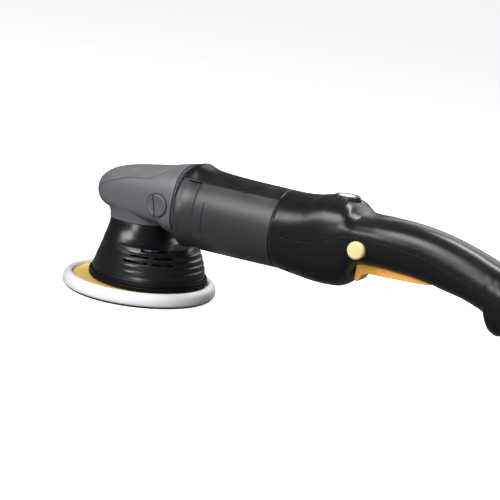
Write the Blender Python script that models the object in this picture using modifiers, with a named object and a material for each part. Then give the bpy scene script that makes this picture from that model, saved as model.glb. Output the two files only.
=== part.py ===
"""Dual action polisher: an orbital spindle under a bell, a gear head, a universal motor and a
paddle-switch handle.

Frame: the origin is on the axis of the output spindle, level with the working face of the pad.
+X runs along the motor towards the handle, +Z runs up the spindle.
Section tables are in millimetres, and mesh_object scales them to metres.
"""

import math

import bmesh
import bpy
from mathutils import Matrix, Vector

MM = 0.001
MOTOR_Z = 90.5          # height of the motor axis over the pad face
ORBIT = 7.5             # offset of the pad axis from the spindle axis, for a 15 mm orbit
ORBIT_ANGLE = 208.0     # direction of the offset at rest, degrees from +X
PAD_X = ORBIT * math.cos(math.radians(ORBIT_ANGLE))
PAD_Y = ORBIT * math.sin(math.radians(ORBIT_ANGLE))
CROWN_TEETH = 27
PINION_TEETH = 7
CROWN_R = 26.0
PINION_R = CROWN_R * PINION_TEETH / CROWN_TEETH
BUTTON_X, BUTTON_Z = 224.0, 92.0
DIAL_X = 197.0
PLUG_X, PLUG_Z = 22.0, 93.0

for old in list(bpy.data.objects):
    bpy.data.objects.remove(old)

PARTS = bpy.data.collections.new("dual_action_polisher")
CUTTERS = bpy.data.collections.new("cutters")
CUTTERS.hide_render = True
bpy.context.scene.collection.children.link(PARTS)
bpy.context.scene.collection.children.link(CUTTERS)


def material(name, colour, roughness, metallic=0.0):
    """One Principled material for one piece."""
    made = bpy.data.materials.new(name)
    made.use_nodes = True
    shader = made.node_tree.nodes["Principled BSDF"]
    shader.inputs["Base Color"].default_value = (*colour, 1.0)
    shader.inputs["Roughness"].default_value = roughness
    shader.inputs["Metallic"].default_value = metallic
    return made


BLACK = ((0.022, 0.022, 0.024), 0.45)
RUBBER = ((0.012, 0.012, 0.013), 0.75)
STEEL = ((0.55, 0.56, 0.58), 0.3, 1.0)
ALLOY = ((0.62, 0.63, 0.65), 0.4, 1.0)
BRASS = ((0.72, 0.52, 0.22), 0.35, 1.0)
COPPER = ((0.72, 0.32, 0.13), 0.35, 1.0)


def mesh_object(name, mesh, look=None, angle=35.0):
    """Wraps a bmesh in millimetres as a named part, or as a cutter when it has no look."""
    bmesh.ops.recalc_face_normals(mesh, faces=mesh.faces)
    bmesh.ops.scale(mesh, vec=(MM, MM, MM), verts=mesh.verts)
    data = bpy.data.meshes.new(name)
    mesh.to_mesh(data)
    mesh.free()
    data.shade_smooth()
    data.set_sharp_from_angle(angle=math.radians(angle))
    made = bpy.data.objects.new(name, data)
    if look is None:
        CUTTERS.objects.link(made)
        made.hide_render = True
        made.display_type = "WIRE"
    else:
        PARTS.objects.link(made)
        data.materials.append(material(name, *look))
    return made


def cut(target, cutter, operation="DIFFERENCE"):
    """Adds an exact Boolean."""
    step = target.modifiers.new(f"{operation.lower()}_{cutter.name}", "BOOLEAN")
    step.operation = operation
    step.solver = "EXACT"
    step.object = cutter


def loft_mesh(rings, loop=False):
    """A skin over rings of equal count. A loop joins the last ring to the first one."""
    mesh = bmesh.new()
    rows = [[mesh.verts.new(point) for point in ring] for ring in rings]
    count = len(rows[0])
    pairs = list(zip(rows, rows[1:]))
    if loop:
        pairs.append((rows[-1], rows[0]))
    for low, high in pairs:
        for i in range(count):
            j = (i + 1) % count
            mesh.faces.new((low[i], low[j], high[j], high[i]))
    if not loop:
        mesh.faces.new(rows[0])
        mesh.faces.new(rows[-1])
    return mesh


def turned(profile, steps=28, centre=(0.0, 0.0, 0.0), along="Z"):
    """A solid or a ring turned about an axis: profile is (radius, height) going round its section."""
    rings = []
    solid = min(radius for radius, _ in profile) < 1e-6
    points = [p for p in profile if p[0] > 1e-6] if solid else profile
    for radius, height in points:
        ring = []
        for k in range(steps):
            angle = 2 * math.pi * k / steps
            flat = (radius * math.cos(angle), radius * math.sin(angle))
            if along == "Z":
                ring.append((centre[0] + flat[0], centre[1] + flat[1], centre[2] + height))
            elif along == "X":
                ring.append((centre[0] + height, centre[1] + flat[0], centre[2] + flat[1]))
            else:
                ring.append((centre[0] + flat[1], centre[1] + height, centre[2] + flat[0]))
        rings.append(ring)
    return loft_mesh(rings, loop=not solid)


def box(low, high):
    mesh = bmesh.new()
    bmesh.ops.create_cube(mesh, size=1.0)
    size = Vector(high) - Vector(low)
    bmesh.ops.scale(mesh, vec=size, verts=mesh.verts)
    bmesh.ops.translate(mesh, vec=(Vector(high) + Vector(low)) / 2, verts=mesh.verts)
    return mesh


def prism(outline, low, high):
    """An outline in X and Z pushed through along Y."""
    return loft_mesh([[(x, y, z) for x, z in outline] for y in (low, high)])


def extruded_x(outline, low, high):
    """An outline in Y and Z, about the motor axis, pushed through along X."""
    return loft_mesh([[(x, y, MOTOR_Z + z) for y, z in outline] for x in (low, high)])


def arc(radius, start, stop, steps):
    """Points (y, z) on an arc, in degrees."""
    return [(radius * math.cos(math.radians(start + (stop - start) * k / steps)),
             radius * math.sin(math.radians(start + (stop - start) * k / steps)))
            for k in range(steps + 1)]


def rounded(x, top, bottom, half, power, steps=20, shrink=0.0):
    """One section across X: a rounded box between two heights."""
    mid = MOTOR_Z if bottom < MOTOR_Z - 5 and top > MOTOR_Z + 5 else (top + bottom) / 2
    ring = []
    for k in range(steps):
        angle = 2 * math.pi * k / steps
        c, s = math.cos(angle), math.sin(angle)
        reach = (top - mid if s > 0 else mid - bottom) - shrink
        y = (half - shrink) * math.copysign(abs(c) ** (2 / power), c)
        ring.append((x, y, mid + reach * math.copysign(abs(s) ** (2 / power), s)))
    return ring


def oval(z, front, rear, half, power=2.0, steps=28):
    """One section across Z: an oval that reaches from front to rear along X."""
    mid, reach = (front + rear) / 2, (rear - front) / 2
    ring = []
    for k in range(steps):
        angle = 2 * math.pi * k / steps
        c, s = math.cos(angle), math.sin(angle)
        ring.append((mid + reach * math.copysign(abs(c) ** (2 / power), c),
                     half * math.copysign(abs(s) ** (2 / power), s), z))
    return ring


def toothed(radius, tip, root, teeth, share, phase=0.0):
    """A ring of plain teeth: (angle, radius) at the root and the tip of each one."""
    points = []
    for k in range(teeth):
        mid = 2 * math.pi * k / teeth + phase
        wide, narrow = share * math.pi / teeth, share * 0.55 * math.pi / teeth
        points += [(mid - wide, radius - root), (mid - narrow, radius + tip),
                   (mid + narrow, radius + tip), (mid + wide, radius - root)]
    return points


# ---- gear head ------------------------------------------------------------------------------

# x, top, bottom, half width, power
HEAD = [
    (-55.5, 101.0, 93.0, 12.0, 2.4),
    (-54.5, 105.0, 89.5, 19.0, 2.4),
    (-51.5, 109.6, 85.5, 25.5, 2.5),
    (-47.0, 113.4, 81.0, 30.0, 2.6),
    (-40.0, 116.6, 77.5, 33.4, 2.7),
    (-28.0, 119.4, 75.5, 35.8, 2.9),
    (-10.0, 122.4, 73.0, 37.2, 3.0),
    (10.0, 125.9, 70.8, 37.6, 3.0),
    (21.0, 128.6, 70.0, 37.6, 2.9),
    (28.0, 130.2, 65.4, 37.6, 2.8),
    (38.0, 132.5, 64.0, 37.6, 2.6),
]
# x, z along the lower edge of the light top cover
COVER_EDGE = [(-75.0, 95.0), (-56.0, 96.5), (-30.0, 107.0), (-12.0, 113.0), (6.0, 115.0), (32.0, 134.0)]


def head_loft(shrink, name):
    rings = [rounded(x + shrink * max(0.0, (-28.0 - x) / 27.5), t, b, h, p, shrink=shrink)
             for x, t, b, h, p in HEAD]
    return mesh_object(name, loft_mesh(rings))


def above_edge(lift, name):
    outline = [(x, z + lift) for x, z in COVER_EDGE] + [(32.0, 160.0), (-75.0, 160.0)]
    return mesh_object(name, prism(outline, -60, 60))


def gear_head():
    """Cast head: gear chamber, roof boss for the upper bearing, bore to the motor, plug bosses."""
    head = mesh_object("gear_head", loft_mesh([rounded(*row) for row in HEAD]),
                       ((0.105, 0.105, 0.112), 0.5, 0.2))
    collar = mesh_object("head_collar", loft_mesh([
        oval(69.8, -43.5, 20.5, 33.0, 2.2), oval(76.0, -44.5, 22.0, 34.0, 2.2),
        oval(84.0, -46.0, 24.0, 34.0, 2.2)]))
    cut(head, collar, "UNION")
    recess = above_edge(0.0, "cover_recess")
    cut(recess, head_loft(2.8, "head_under_cover"))
    cut(head, recess)
    inner = [(-47, 104, 90, 16), (-41, 109, 84, 25), (-28, 113, 79.5, 29.5), (-10, 115.5, 77.5, 30.5),
             (12, 117, 76.5, 30.5), (24, 116, 73, 28)]
    chamber = mesh_object("gear_chamber", loft_mesh([rounded(x, t, b, h, 2.6) for x, t, b, h in inner]))
    boss = mesh_object("roof_boss", turned([(14.2, 98.5), (18.0, 98.5), (18.0, 121.0), (14.2, 121.0)], 24))
    cut(chamber, boss)
    cut(head, chamber)
    for name, profile, along, centre in (
            ("motor_bore", [(0, 12), (22.5, 12), (22.5, 45), (0, 45)], "X", (0, 0, MOTOR_Z)),
            ("neck_bore", [(0, 60), (16.9, 60), (16.9, 76), (27.4, 76), (27.4, 87), (0, 87)], "Z", (0, 0, 0)),
            ("upper_pocket", [(0, 98), (14.2, 98), (14.2, 108.5), (0, 108.5)], "Z", (0, 0, 0))):
        cut(head, mesh_object(name, turned(profile, 24, centre, along)))
    for side in (-1, 1):
        hole = [(0, 26), (7.3, 26), (7.3, 34.0), (11.4, 34.0), (11.4, 60), (0, 60)]
        cut(head, mesh_object(f"plug_hole_{side}", turned([(r, side * y) for r, y in hole], 24,
                                                          (PLUG_X, 0, PLUG_Z), "Y")))
    for k, (y, z) in enumerate(SCREW_SPOTS):
        cut(head, mesh_object(f"head_tap_{k}", turned([(0, 24), (2.8, 24), (2.8, 45), (0, 45)], 8,
                                                      (0, y, MOTOR_Z + z), "X")))
    for k, (x, y) in enumerate(BELL_SCREWS):
        cut(head, mesh_object(f"bell_tap_{k}", turned([(0, 60), (1.8, 60), (1.8, 75.2), (0, 75.2)], 8,
                                                      (x, y, 0))))
    return head


SCREW_SPOTS = [(22.0, 17.5), (-22.0, 17.5), (-22.0, -17.5), (22.0, -17.5)]
BELL_SCREWS = [(-8.0, 24.0), (-8.0, -24.0)]


def head_top_cover():
    """Light cover that clips over the crown of the head."""
    cover = mesh_object("head_top_cover", loft_mesh([rounded(*row) for row in HEAD]),
                        ((0.30, 0.30, 0.31), 0.5))
    cut(cover, above_edge(0.3, "cover_keep"), "INTERSECT")
    cut(cover, head_loft(2.2, "cover_inside"))
    return cover


def side_plug(side, label):
    """Plug in the unused side-handle boss, with a coin slot across its face."""
    profile = [(0, 29.0), (7.0, 29.0), (7.0, 34.3), (11.1, 34.3), (11.1, 38.6), (10.4, 39.4), (0, 39.4)]
    plug = mesh_object(f"side_plug_{label}", turned([(r, side * y) for r, y in profile], 24,
                                                    (PLUG_X, 0, PLUG_Z), "Y"), ((0.10, 0.10, 0.105), 0.5))
    slot = bmesh.new()
    bmesh.ops.create_cube(slot, size=1.0)
    bmesh.ops.scale(slot, vec=(2.0, 3.0, 40.0), verts=slot.verts)
    bmesh.ops.rotate(slot, cent=(0, 0, 0), matrix=Matrix.Rotation(math.radians(-12.0), 3, "Y"),
                     verts=slot.verts)
    bmesh.ops.translate(slot, vec=(PLUG_X - 1.5, side * 39.4, PLUG_Z), verts=slot.verts)
    cut(plug, mesh_object(f"coin_slot_{label}", slot))
    return plug


def ball_bearing(name, bore, outer, low, high, centre=(0, 0, 0), along="Z"):
    """Shielded bearing, with the shield dished on its lower face."""
    rim = (outer - bore) * 0.22
    profile = [(bore, low), (bore + rim, low), (bore + rim, low + 0.5), (outer - rim, low + 0.5),
               (outer - rim, low), (outer, low), (outer, high), (bore, high)]
    return mesh_object(name, turned(profile, 18, centre, along), STEEL)


def spindle_housing():
    """Tube that hangs the lower spindle bearing under the head, with a flange inside it."""
    profile = [(9.0, 59.2), (14.2, 59.2), (14.2, 49.0), (16.5, 49.0), (16.5, 76.3), (25.6, 76.3),
               (25.6, 78.2), (9.0, 78.2)]
    return mesh_object("spindle_housing", turned(profile, 24), ALLOY)


# ---- bell -----------------------------------------------------------------------------------

# z, front x, rear x, half width, from the lip up to the head
BELL = [
    (13.5, -55.6, 55.6, 55.6),
    (20.0, -55.4, 55.4, 55.4),
    (27.0, -53.6, 53.6, 53.6),
    (34.0, -51.6, 51.6, 51.6),
    (41.0, -49.2, 48.4, 49.0),
    (44.5, -48.2, 46.6, 47.6),
    (46.0, -47.6, 43.0, 46.5),
    (48.0, -47.0, 34.0, 44.6),
    (51.5, -46.0, 25.0, 41.5),
    (57.0, -44.8, 20.4, 37.8),
    (63.0, -43.8, 19.6, 35.0),
    (69.5, -43.4, 20.0, 33.2),
]


# height and the two ends, in degrees from +X, of each slot on the right side; the left side mirrors it
VENTS = [(37.5, 33.0, 57.5), (37.5, 62.0, 90.0), (43.0, 33.0, 57.0), (43.0, 61.0, 83.0), (48.3, 36.0, 72.0)]


def vent_bell():
    """Flared guard round the counterweight, with stepped rows of slots on both flanks."""
    outer = [oval(z, f, r, h) for z, f, r, h in BELL]
    inner = [oval(z - 0.6, f + 2.4, r - 2.4, h - 2.4) for z, f, r, h in BELL[1:-1:2]]
    inner.insert(0, oval(BELL[0][0], -53.2, 53.2, 53.2))
    inner.append(oval(66.8, BELL[-1][1] + 2.4, 17.6, BELL[-1][3] - 2.4))
    hole = [(16.9 * math.cos(2 * math.pi * k / 28), 16.9 * math.sin(2 * math.pi * k / 28))
            for k in range(28)]
    rings = outer + [[(x, y, 69.5) for x, y in hole], [(x, y, 66.8) for x, y in hole]]
    bell = mesh_object("vent_bell", loft_mesh(rings + inner[::-1], loop=True), ((0.03, 0.03, 0.032), 0.35))
    for k, (z, start, stop) in enumerate(VENTS):
        for side in (-1, 1):
            slot = arc(70, side * start, side * stop, 2) + arc(30, side * stop, side * start, 2)
            rings = [[(x, y, h) for x, y in slot] for h in (z - 1.3, z + 1.3)]
            cut(bell, mesh_object(f"vent_{k}_{side}", loft_mesh(rings)))
    for k, (x, y) in enumerate(BELL_SCREWS):
        cut(bell, mesh_object(f"bell_hole_{k}", turned([(0, 60), (2.3, 60), (2.3, 75), (0, 75)], 12,
                                                       (x, y, 0))))
    return bell


def bell_lip():
    """Soft lip pushed over the lower edge of the bell."""
    profile = [(52.0, 11.8), (57.0, 11.8), (57.8, 13.2), (57.6, 19.0), (56.0, 19.4), (55.9, 13.2),
               (52.0, 13.2)]
    return mesh_object("bell_lip", turned(profile, 36), RUBBER)


def bell_screw(number, x, y):
    profile = [(0, 74.5), (1.6, 74.5), (1.6, 66.5), (3.6, 66.5), (3.6, 64.2), (0, 64.2)]
    return mesh_object(f"bell_screw_{number}", turned(profile, 12, (x, y, 0)), STEEL)


# ---- spindle, counterweight and pad ---------------------------------------------------------

def spindle():
    """Output shaft with an offset pocket at its lower end that carries the pad bearing."""
    profile = [(0, 40.0), (24.0, 40.0), (24.0, 45.0), (11.0, 46.5), (8.4, 49.6), (6.0, 50.2), (6.0, 108.0),
               (0, 108.0)]
    made = mesh_object("spindle", turned(profile, 24), STEEL)
    pocket = mesh_object("eccentric_pocket", turned([(0, 25.5), (17.4, 25.5), (17.4, 44.0), (0, 44.0)], 24,
                                                    (PAD_X, PAD_Y, 0)))
    cut(made, pocket, "UNION")
    cut(made, mesh_object("pocket_bore", turned([(0, 20.0), (14.3, 20.0), (14.3, 43.5), (0, 43.5)], 24,
                                                (PAD_X, PAD_Y, 0))))
    return made


def counterweight():
    """Steel sector bolted opposite the eccentric pocket."""
    middle = ORBIT_ANGLE - 180
    outline = arc(41.0, middle - 70, middle + 70, 12) + arc(13.5, middle + 58, middle - 58, 6)
    rings = [[(x, y, z) for x, y in outline] for z in (26.5, 39.6)]
    return mesh_object("counterweight", loft_mesh(rings), STEEL)


def crown_gear():
    """Bevel wheel on the spindle. Its teeth shrink towards the point where the two axes cross."""
    apex = Vector((0, 0, MOTOR_Z))
    base = MOTOR_Z - PINION_R
    half = 2 * math.pi / CROWN_TEETH / 2
    outer = []
    for angle, height in toothed(0.0, 1.1, 1.4, CROWN_TEETH, 0.36):
        spot = angle + half
        outer.append(Vector((CROWN_R * math.cos(spot), CROWN_R * math.sin(spot), base + height)))
    inner = [apex + (p - apex) * 0.66 for p in outer]
    floor = base - 1.4

    def flat(radius, z):
        return [(radius * math.cos(math.atan2(p.y, p.x)), radius * math.sin(math.atan2(p.y, p.x)), z)
                for p in outer]

    low_inner = min(p.z for p in inner)
    rings = [flat(6.2, floor - 3.0), flat(CROWN_R, floor - 3.0), outer, inner, flat(6.2, low_inner)]
    return mesh_object("crown_gear", loft_mesh(rings, loop=True), STEEL, 25)


def pinion():
    """Bevel pinion on the nose of the armature shaft."""
    apex = Vector((0, 0, MOTOR_Z))
    outer = []
    for angle, radius in toothed(PINION_R, 1.1, 1.4, PINION_TEETH, 0.36, -math.pi / 2):
        outer.append(Vector((CROWN_R, radius * math.cos(angle), MOTOR_Z + radius * math.sin(angle))))
    inner = [apex + (p - apex) * 0.66 for p in outer]

    def flat(radius, x):
        ring = []
        for p in outer:
            angle = math.atan2(p.z - MOTOR_Z, p.y)
            ring.append((x, radius * math.cos(angle), MOTOR_Z + radius * math.sin(angle)))
        return ring

    rings = [flat(2.5, inner[0].x), inner, outer, flat(5.6, CROWN_R + 1.2), flat(5.6, 29.6), flat(2.5, 29.6)]
    return mesh_object("pinion", loft_mesh(rings, loop=True), STEEL, 25)


def spindle_nut():
    profile = [(6.2, 86.6), (9.2, 86.6), (9.2, 90.6), (6.2, 90.6)]
    return mesh_object("spindle_nut", turned(profile, 18), STEEL)


def pad_bearing():
    return ball_bearing("pad_bearing", 6.2, 14.0, 26.0, 42.0, (PAD_X, PAD_Y, 0))


def pad_arbor():
    """Stub shaft held in the pad bearing, drilled from below for the pad screw."""
    profile = [(3.2, 20.8), (13.5, 20.8), (13.5, 23.2), (9.0, 25.2), (6.0, 25.2), (6.0, 42.5), (3.2, 42.5)]
    return mesh_object("pad_arbor", turned(profile, 24, (PAD_X, PAD_Y, 0)), STEEL)


def backing_plate():
    """Moulded plate with a raised hub that takes the arbor."""
    profile = [(3.3, 14.5), (5.4, 14.5), (5.4, 8.3), (66.0, 8.3), (66.0, 10.6), (22.0, 11.0), (16.0, 20.4),
               (3.3, 20.4)]
    return mesh_object("backing_plate", turned(profile, 40, (PAD_X, PAD_Y, 0)), ((0.85, 0.42, 0.06), 0.45))


def foam_rim():
    """Foam interface layer. Its edge stands a little over the plate."""
    profile = [(5.7, 1.9), (73.6, 1.9), (75.0, 4.0), (74.7, 7.2), (72.0, 11.4), (68.6, 13.8),
               (66.3, 13.4), (66.3, 8.0), (5.7, 8.0)]
    return mesh_object("foam_rim", turned(profile, 40, (PAD_X, PAD_Y, 0)), ((0.80, 0.80, 0.80), 0.7))


def hook_face():
    profile = [(5.7, 0.0), (72.6, 0.0), (72.6, 1.6), (5.7, 1.6)]
    return mesh_object("hook_face", turned(profile, 40, (PAD_X, PAD_Y, 0)), ((0.05, 0.05, 0.055), 0.95))


def pad_screw():
    profile = [(0, 36.0), (2.9, 36.0), (2.9, 14.2), (4.9, 14.2), (4.9, 10.2), (2.5, 10.2), (2.0, 12.4),
               (0, 12.4)]
    return mesh_object("pad_screw", turned(profile, 16, (PAD_X, PAD_Y, 0)), STEEL)


# ---- motor ----------------------------------------------------------------------------------

# x, radius of the flanks, from the front seam to the rear seam
FLANK = [(38.3, 38.0), (43.0, 38.0), (47.0, 36.7), (58.0, 36.5), (61.5, 37.3), (141.0, 37.0)]
# x, radius of the strip over the top
STRIP = [(38.3, 40.0), (44.0, 43.2), (48.0, 44.2), (53.0, 42.4), (62.0, 40.2), (80.0, 38.6), (110.0, 37.3),
         (141.0, 37.0)]
STRIP_FROM, STRIP_TO = 53.0, 127.0


def motor_housing():
    """Moulded barrel round the field, stepped down on top where the strip lies."""
    rings = []
    for x, radius in FLANK:
        outline = arc(34.8, STRIP_FROM, STRIP_TO, 8) + arc(radius, STRIP_TO + 0.5, STRIP_FROM + 359.5, 22)
        rings.append([(x, y, MOTOR_Z + z) for y, z in outline])
    angles = [math.atan2(z, y) for y, z in outline]
    for x, radius in ((141.0, 33.0), (42.4, 33.0), (42.4, 23.5), (38.3, 23.5)):
        rings.append([(x, radius * math.cos(a), MOTOR_Z + radius * math.sin(a)) for a in angles])
    barrel = mesh_object("motor_housing", loft_mesh(rings, loop=True), ((0.045, 0.045, 0.048), 0.4))
    for k, (y, z) in enumerate(SCREW_SPOTS):
        cut(barrel, mesh_object(f"barrel_hole_{k}", turned([(0, 30), (2.7, 30), (2.7, 50), (0, 50)], 8,
                                                           (0, y, MOTOR_Z + z), "X")))
    return barrel


def top_grip_strip():
    """Soft strip along the top of the barrel that swells over the front seam."""
    rings = []
    for x, radius in STRIP:
        outline = arc(radius, STRIP_FROM + 0.6, STRIP_TO - 0.6, 10) + arc(35.1, STRIP_TO - 0.6,
                                                                          STRIP_FROM + 0.6, 10)
        rings.append([(x, y, MOTOR_Z + z) for y, z in outline])
    return mesh_object("top_grip_strip", loft_mesh(rings), ((0.015, 0.015, 0.016), 0.3))


def front_bearing_plate():
    """Disc that closes the head towards the motor and holds the front armature bearing."""
    profile = [(13.3, 31.0), (22.2, 31.0), (22.2, 37.6), (13.3, 37.6)]
    return mesh_object("front_bearing_plate", turned(profile, 24, (0, 0, MOTOR_Z), "X"), ALLOY)


def head_screw(number, y, z):
    profile = [(0, 26.0), (2.1, 26.0), (2.1, 42.7), (3.8, 42.7), (3.8, 45.5), (0, 45.5)]
    return mesh_object(f"head_screw_{number}", turned(profile, 12, (0, y, MOTOR_Z + z), "X"), STEEL)


def stator_core():
    """Laminated field with two pole shoes."""
    made = mesh_object("stator_core", turned([(27.6, 64), (32.7, 64), (32.7, 112), (27.6, 112)], 24,
                                             (0, 0, MOTOR_Z), "X"), ((0.22, 0.22, 0.23), 0.5, 0.9))
    for k, start in enumerate((0.0, 180.0)):
        shoe = (arc(20.6, start - 58, start + 58, 12) + arc(23.2, start + 58, start + 25, 3)
                + arc(29.0, start + 25, start - 25, 5) + arc(23.2, start - 25, start - 58, 3))
        cut(made, mesh_object(f"pole_shoe_{k}", extruded_x(shoe, 64, 112)), "UNION")
    return made


def field_coil(label, start):
    """Winding round the neck of one pole shoe."""
    outline = arc(23.6, start - 56, start + 56, 14) + arc(27.2, start + 56, start - 56, 14)
    made = mesh_object(f"field_coil_{label}", extruded_x(outline, 59, 117), COPPER)
    window = arc(22.0, start - 27.5, start + 27.5, 6) + arc(30.0, start + 27.5, start - 27.5, 6)
    cut(made, mesh_object(f"coil_window_{label}", extruded_x(window, 63.6, 112.4)))
    return made


def fan_baffle():
    profile = [(24.0, 56.2), (32.7, 56.2), (32.7, 58.0), (24.0, 58.0)]
    return mesh_object("fan_baffle", turned(profile, 24, (0, 0, MOTOR_Z), "X"), BLACK)


def armature_shaft():
    profile = [(0, 18.0), (2.3, 18.0), (2.3, 29.8), (4.8, 29.8), (4.8, 120.0), (3.9, 120.0), (3.9, 156.0),
               (0, 156.0)]
    return mesh_object("armature_shaft", turned(profile, 24, (0, 0, MOTOR_Z), "X"), STEEL)


def armature_core():
    """Slotted lamination stack."""
    outline = [(r * math.cos(a), r * math.sin(a)) for a, r in toothed(19.9, 0.0, 6.0, 12, 0.8)]
    bore = [(5.0 * math.cos(a), 5.0 * math.sin(a)) for a, _ in toothed(19.9, 0.0, 6.0, 12, 0.8)]
    rings = [[(x, y, MOTOR_Z + z) for y, z in ring]
             for x, ring in ((66, outline), (110, outline), (110, bore), (66, bore))]
    return mesh_object("armature_core", loft_mesh(rings, loop=True), ((0.25, 0.25, 0.26), 0.45, 0.9))


def armature_winding(label, near, far):
    """End turns of the armature, lacquered."""
    bulge = near + (far - near) * 0.35
    profile = [(5.0, near), (17.5, near), (18.2, bulge), (14.0, far), (5.0, far)]
    return mesh_object(f"armature_winding_{label}", turned(profile, 24, (0, 0, MOTOR_Z), "X"), COPPER)


def commutator():
    outline = [(r * math.cos(a), r * math.sin(a)) for a, r in toothed(11.5, 0.0, 0.6, 12, 0.86)]
    bore = [(4.1 * math.cos(a), 4.1 * math.sin(a)) for a, _ in toothed(11.5, 0.0, 0.6, 12, 0.86)]
    rings = [[(x, y, MOTOR_Z + z) for y, z in ring]
             for x, ring in ((122, outline), (139, outline), (139, bore), (122, bore))]
    return mesh_object("commutator", loft_mesh(rings, loop=True), COPPER)


def cooling_fan():
    """Fan behind the front bearing. Its blades face the motor."""
    fan = mesh_object("cooling_fan", turned([(5.0, 46.4), (29.5, 46.4), (29.5, 48.0), (10.0, 48.0),
                                             (10.0, 54.0), (5.0, 54.0)], 24, (0, 0, MOTOR_Z), "X"), BLACK)
    for k in range(9):
        start = 40.0 * k + 3.7
        blade = arc(12.3, start, start + 6, 1) + arc(28.3, start + 26, start + 22.5, 1)
        cut(fan, mesh_object(f"fan_blade_{k}", extruded_x(blade, 47.2, 55.4)), "UNION")
    return fan


def brush_carrier():
    """Rear bulkhead of the motor: bearing seat, two brush blocks and air windows."""
    made = mesh_object("brush_carrier", turned([(11.3, 144), (32.7, 144), (32.7, 147.5), (14.0, 147.5),
                                                (14.0, 155.5), (11.3, 155.5)], 22, (0, 0, MOTOR_Z), "X"),
                       BLACK)
    for side in (-1, 1):
        low, high = sorted((side * 14.5, side * 29.0))
        cut(made, mesh_object(f"brush_block_{side}", box((122.5, low, MOTOR_Z - 7.5),
                                                         (145.5, high, MOTOR_Z + 7.5))), "UNION")
    for side in (-1, 1):
        low, high = sorted((side * 10.0, side * 40.0))
        cut(made, mesh_object(f"brush_way_{side}", box((125.7, low, MOTOR_Z - 5.3),
                                                       (137.3, high, MOTOR_Z + 5.3))))
        window = arc(18.0, side * 90 - 40, side * 90 + 40, 6) + arc(28.5, side * 90 + 40, side * 90 - 40, 6)
        cut(made, mesh_object(f"air_window_{side}", extruded_x(window, 140, 150)))
    return made


def brush_holder(label, side):
    """Brass sleeve that guides one brush."""
    low, high = sorted((side * 13.6, side * 30.0))
    made = mesh_object(f"brush_holder_{label}", box((126.0, low, MOTOR_Z - 5.0), (137.0, high, MOTOR_Z + 5.0)),
                       BRASS)
    low, high = sorted((side * 10.0, side * 29.0))
    cut(made, mesh_object(f"brush_slot_{label}", box((127.2, low, MOTOR_Z - 3.8), (135.8, high, MOTOR_Z + 3.8))))
    return made


def carbon_brush(label, side):
    low, high = sorted((side * 11.9, side * 24.5))
    return mesh_object(f"carbon_brush_{label}", box((127.6, low, MOTOR_Z - 3.4), (135.4, high, MOTOR_Z + 3.4)),
                       ((0.04, 0.04, 0.045), 0.6))


# ---- handle ---------------------------------------------------------------------------------

# x, top, bottom, half width, power
REAR = [
    (141.4, 127.5, 53.5, 37.0, 2.0),
    (152.0, 127.4, 52.4, 37.1, 2.1),
    (168.0, 128.6, 51.2, 37.0, 2.3),
    (180.0, 131.2, 50.4, 36.4, 2.5),
    (190.0, 132.2, 50.2, 35.8, 2.6),
    (203.0, 131.8, 51.0, 34.2, 2.6),
    (210.0, 129.2, 53.8, 32.8, 2.6),
    (214.0, 126.0, 57.6, 31.8, 2.5),
    (216.4, 124.2, 66.0, 31.1, 2.5),
    (220.0, 122.4, 74.5, 30.0, 2.5),
    (228.0, 122.0, 75.5, 27.8, 2.5),
    (240.0, 122.6, 75.4, 25.0, 2.4),
    (256.0, 122.6, 74.4, 23.2, 2.3),
    (273.0, 121.6, 73.2, 22.2, 2.3),
    (290.0, 119.4, 71.2, 22.0, 2.3),
    (306.0, 116.2, 68.4, 22.0, 2.3),
    (320.0, 112.4, 65.8, 22.2, 2.3),
    (334.0, 108.0, 61.6, 22.5, 2.3),
    (343.0, 104.8, 57.6, 22.7, 2.3),
    (346.0, 103.7, 48.6, 22.9, 2.3),
    (350.0, 102.3, 42.4, 23.0, 2.3),
    (357.0, 99.6, 40.0, 23.0, 2.4),
    (363.0, 96.8, 42.0, 21.5, 2.4),
    (366.0, 93.0, 47.0, 18.5, 2.4),
]
# x, z of the joint line between the shells
SPLIT = [(130, 91), (143, 91), (168, 90), (180, 91.5), (200, 98), (215, 103.5), (240, 102.5), (279, 98.5),
         (310, 90.0), (343, 78.0), (380, 64.0)]
WALL = 2.8


def rear_solid(shrink, name, look=None):
    rings = []
    for x, top, bottom, half, power in REAR:
        mid = (top + bottom) / 2
        if shrink:
            x = min(max(x, 141.4), 363.0)
            x = 141.0 if x < 142 else x
        ring = []
        for k in range(22):
            angle = 2 * math.pi * k / 22
            c, s = math.cos(angle), math.sin(angle)
            ring.append((x, (half - shrink) * math.copysign(abs(c) ** (2 / power), c),
                         mid + ((top - bottom) / 2 - shrink) * math.copysign(abs(s) ** (2 / power), s)))
        rings.append(ring)
    if shrink:
        rings = rings[:-1]
    return mesh_object(name, loft_mesh(rings), look)


def split_half(name, above):
    line = [(x, z + (0.15 if above else -0.15)) for x, z in SPLIT]
    end = 170.0 if above else 20.0
    return mesh_object(name, prism(line + [(380.0, end), (130.0, end)], -60, 60))


def handle_shell(name, above, look):
    made = rear_solid(0.0, name, look)
    cut(made, rear_solid(WALL, f"{name}_inside"))
    cut(made, split_half(f"{name}_half", above), "INTERSECT")
    cut(made, mesh_object(f"{name}_inlet", turned([(0, 350), (8.2, 350), (8.2, 380), (0, 380)], 24,
                                                  (0, 0, INLET_Z), "X")))
    return made


def handle_shell_upper():
    """Upper half of the rear housing and handle, with the seat of the speed dial."""
    made = handle_shell("handle_shell_upper", True, BLACK)
    seat = mesh_object("dial_seat", turned([(0, 120), (12.9, 120), (12.9, 150), (0, 150)], 24, (DIAL_X, 0, 0)))
    cut(made, seat)
    return made


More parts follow.
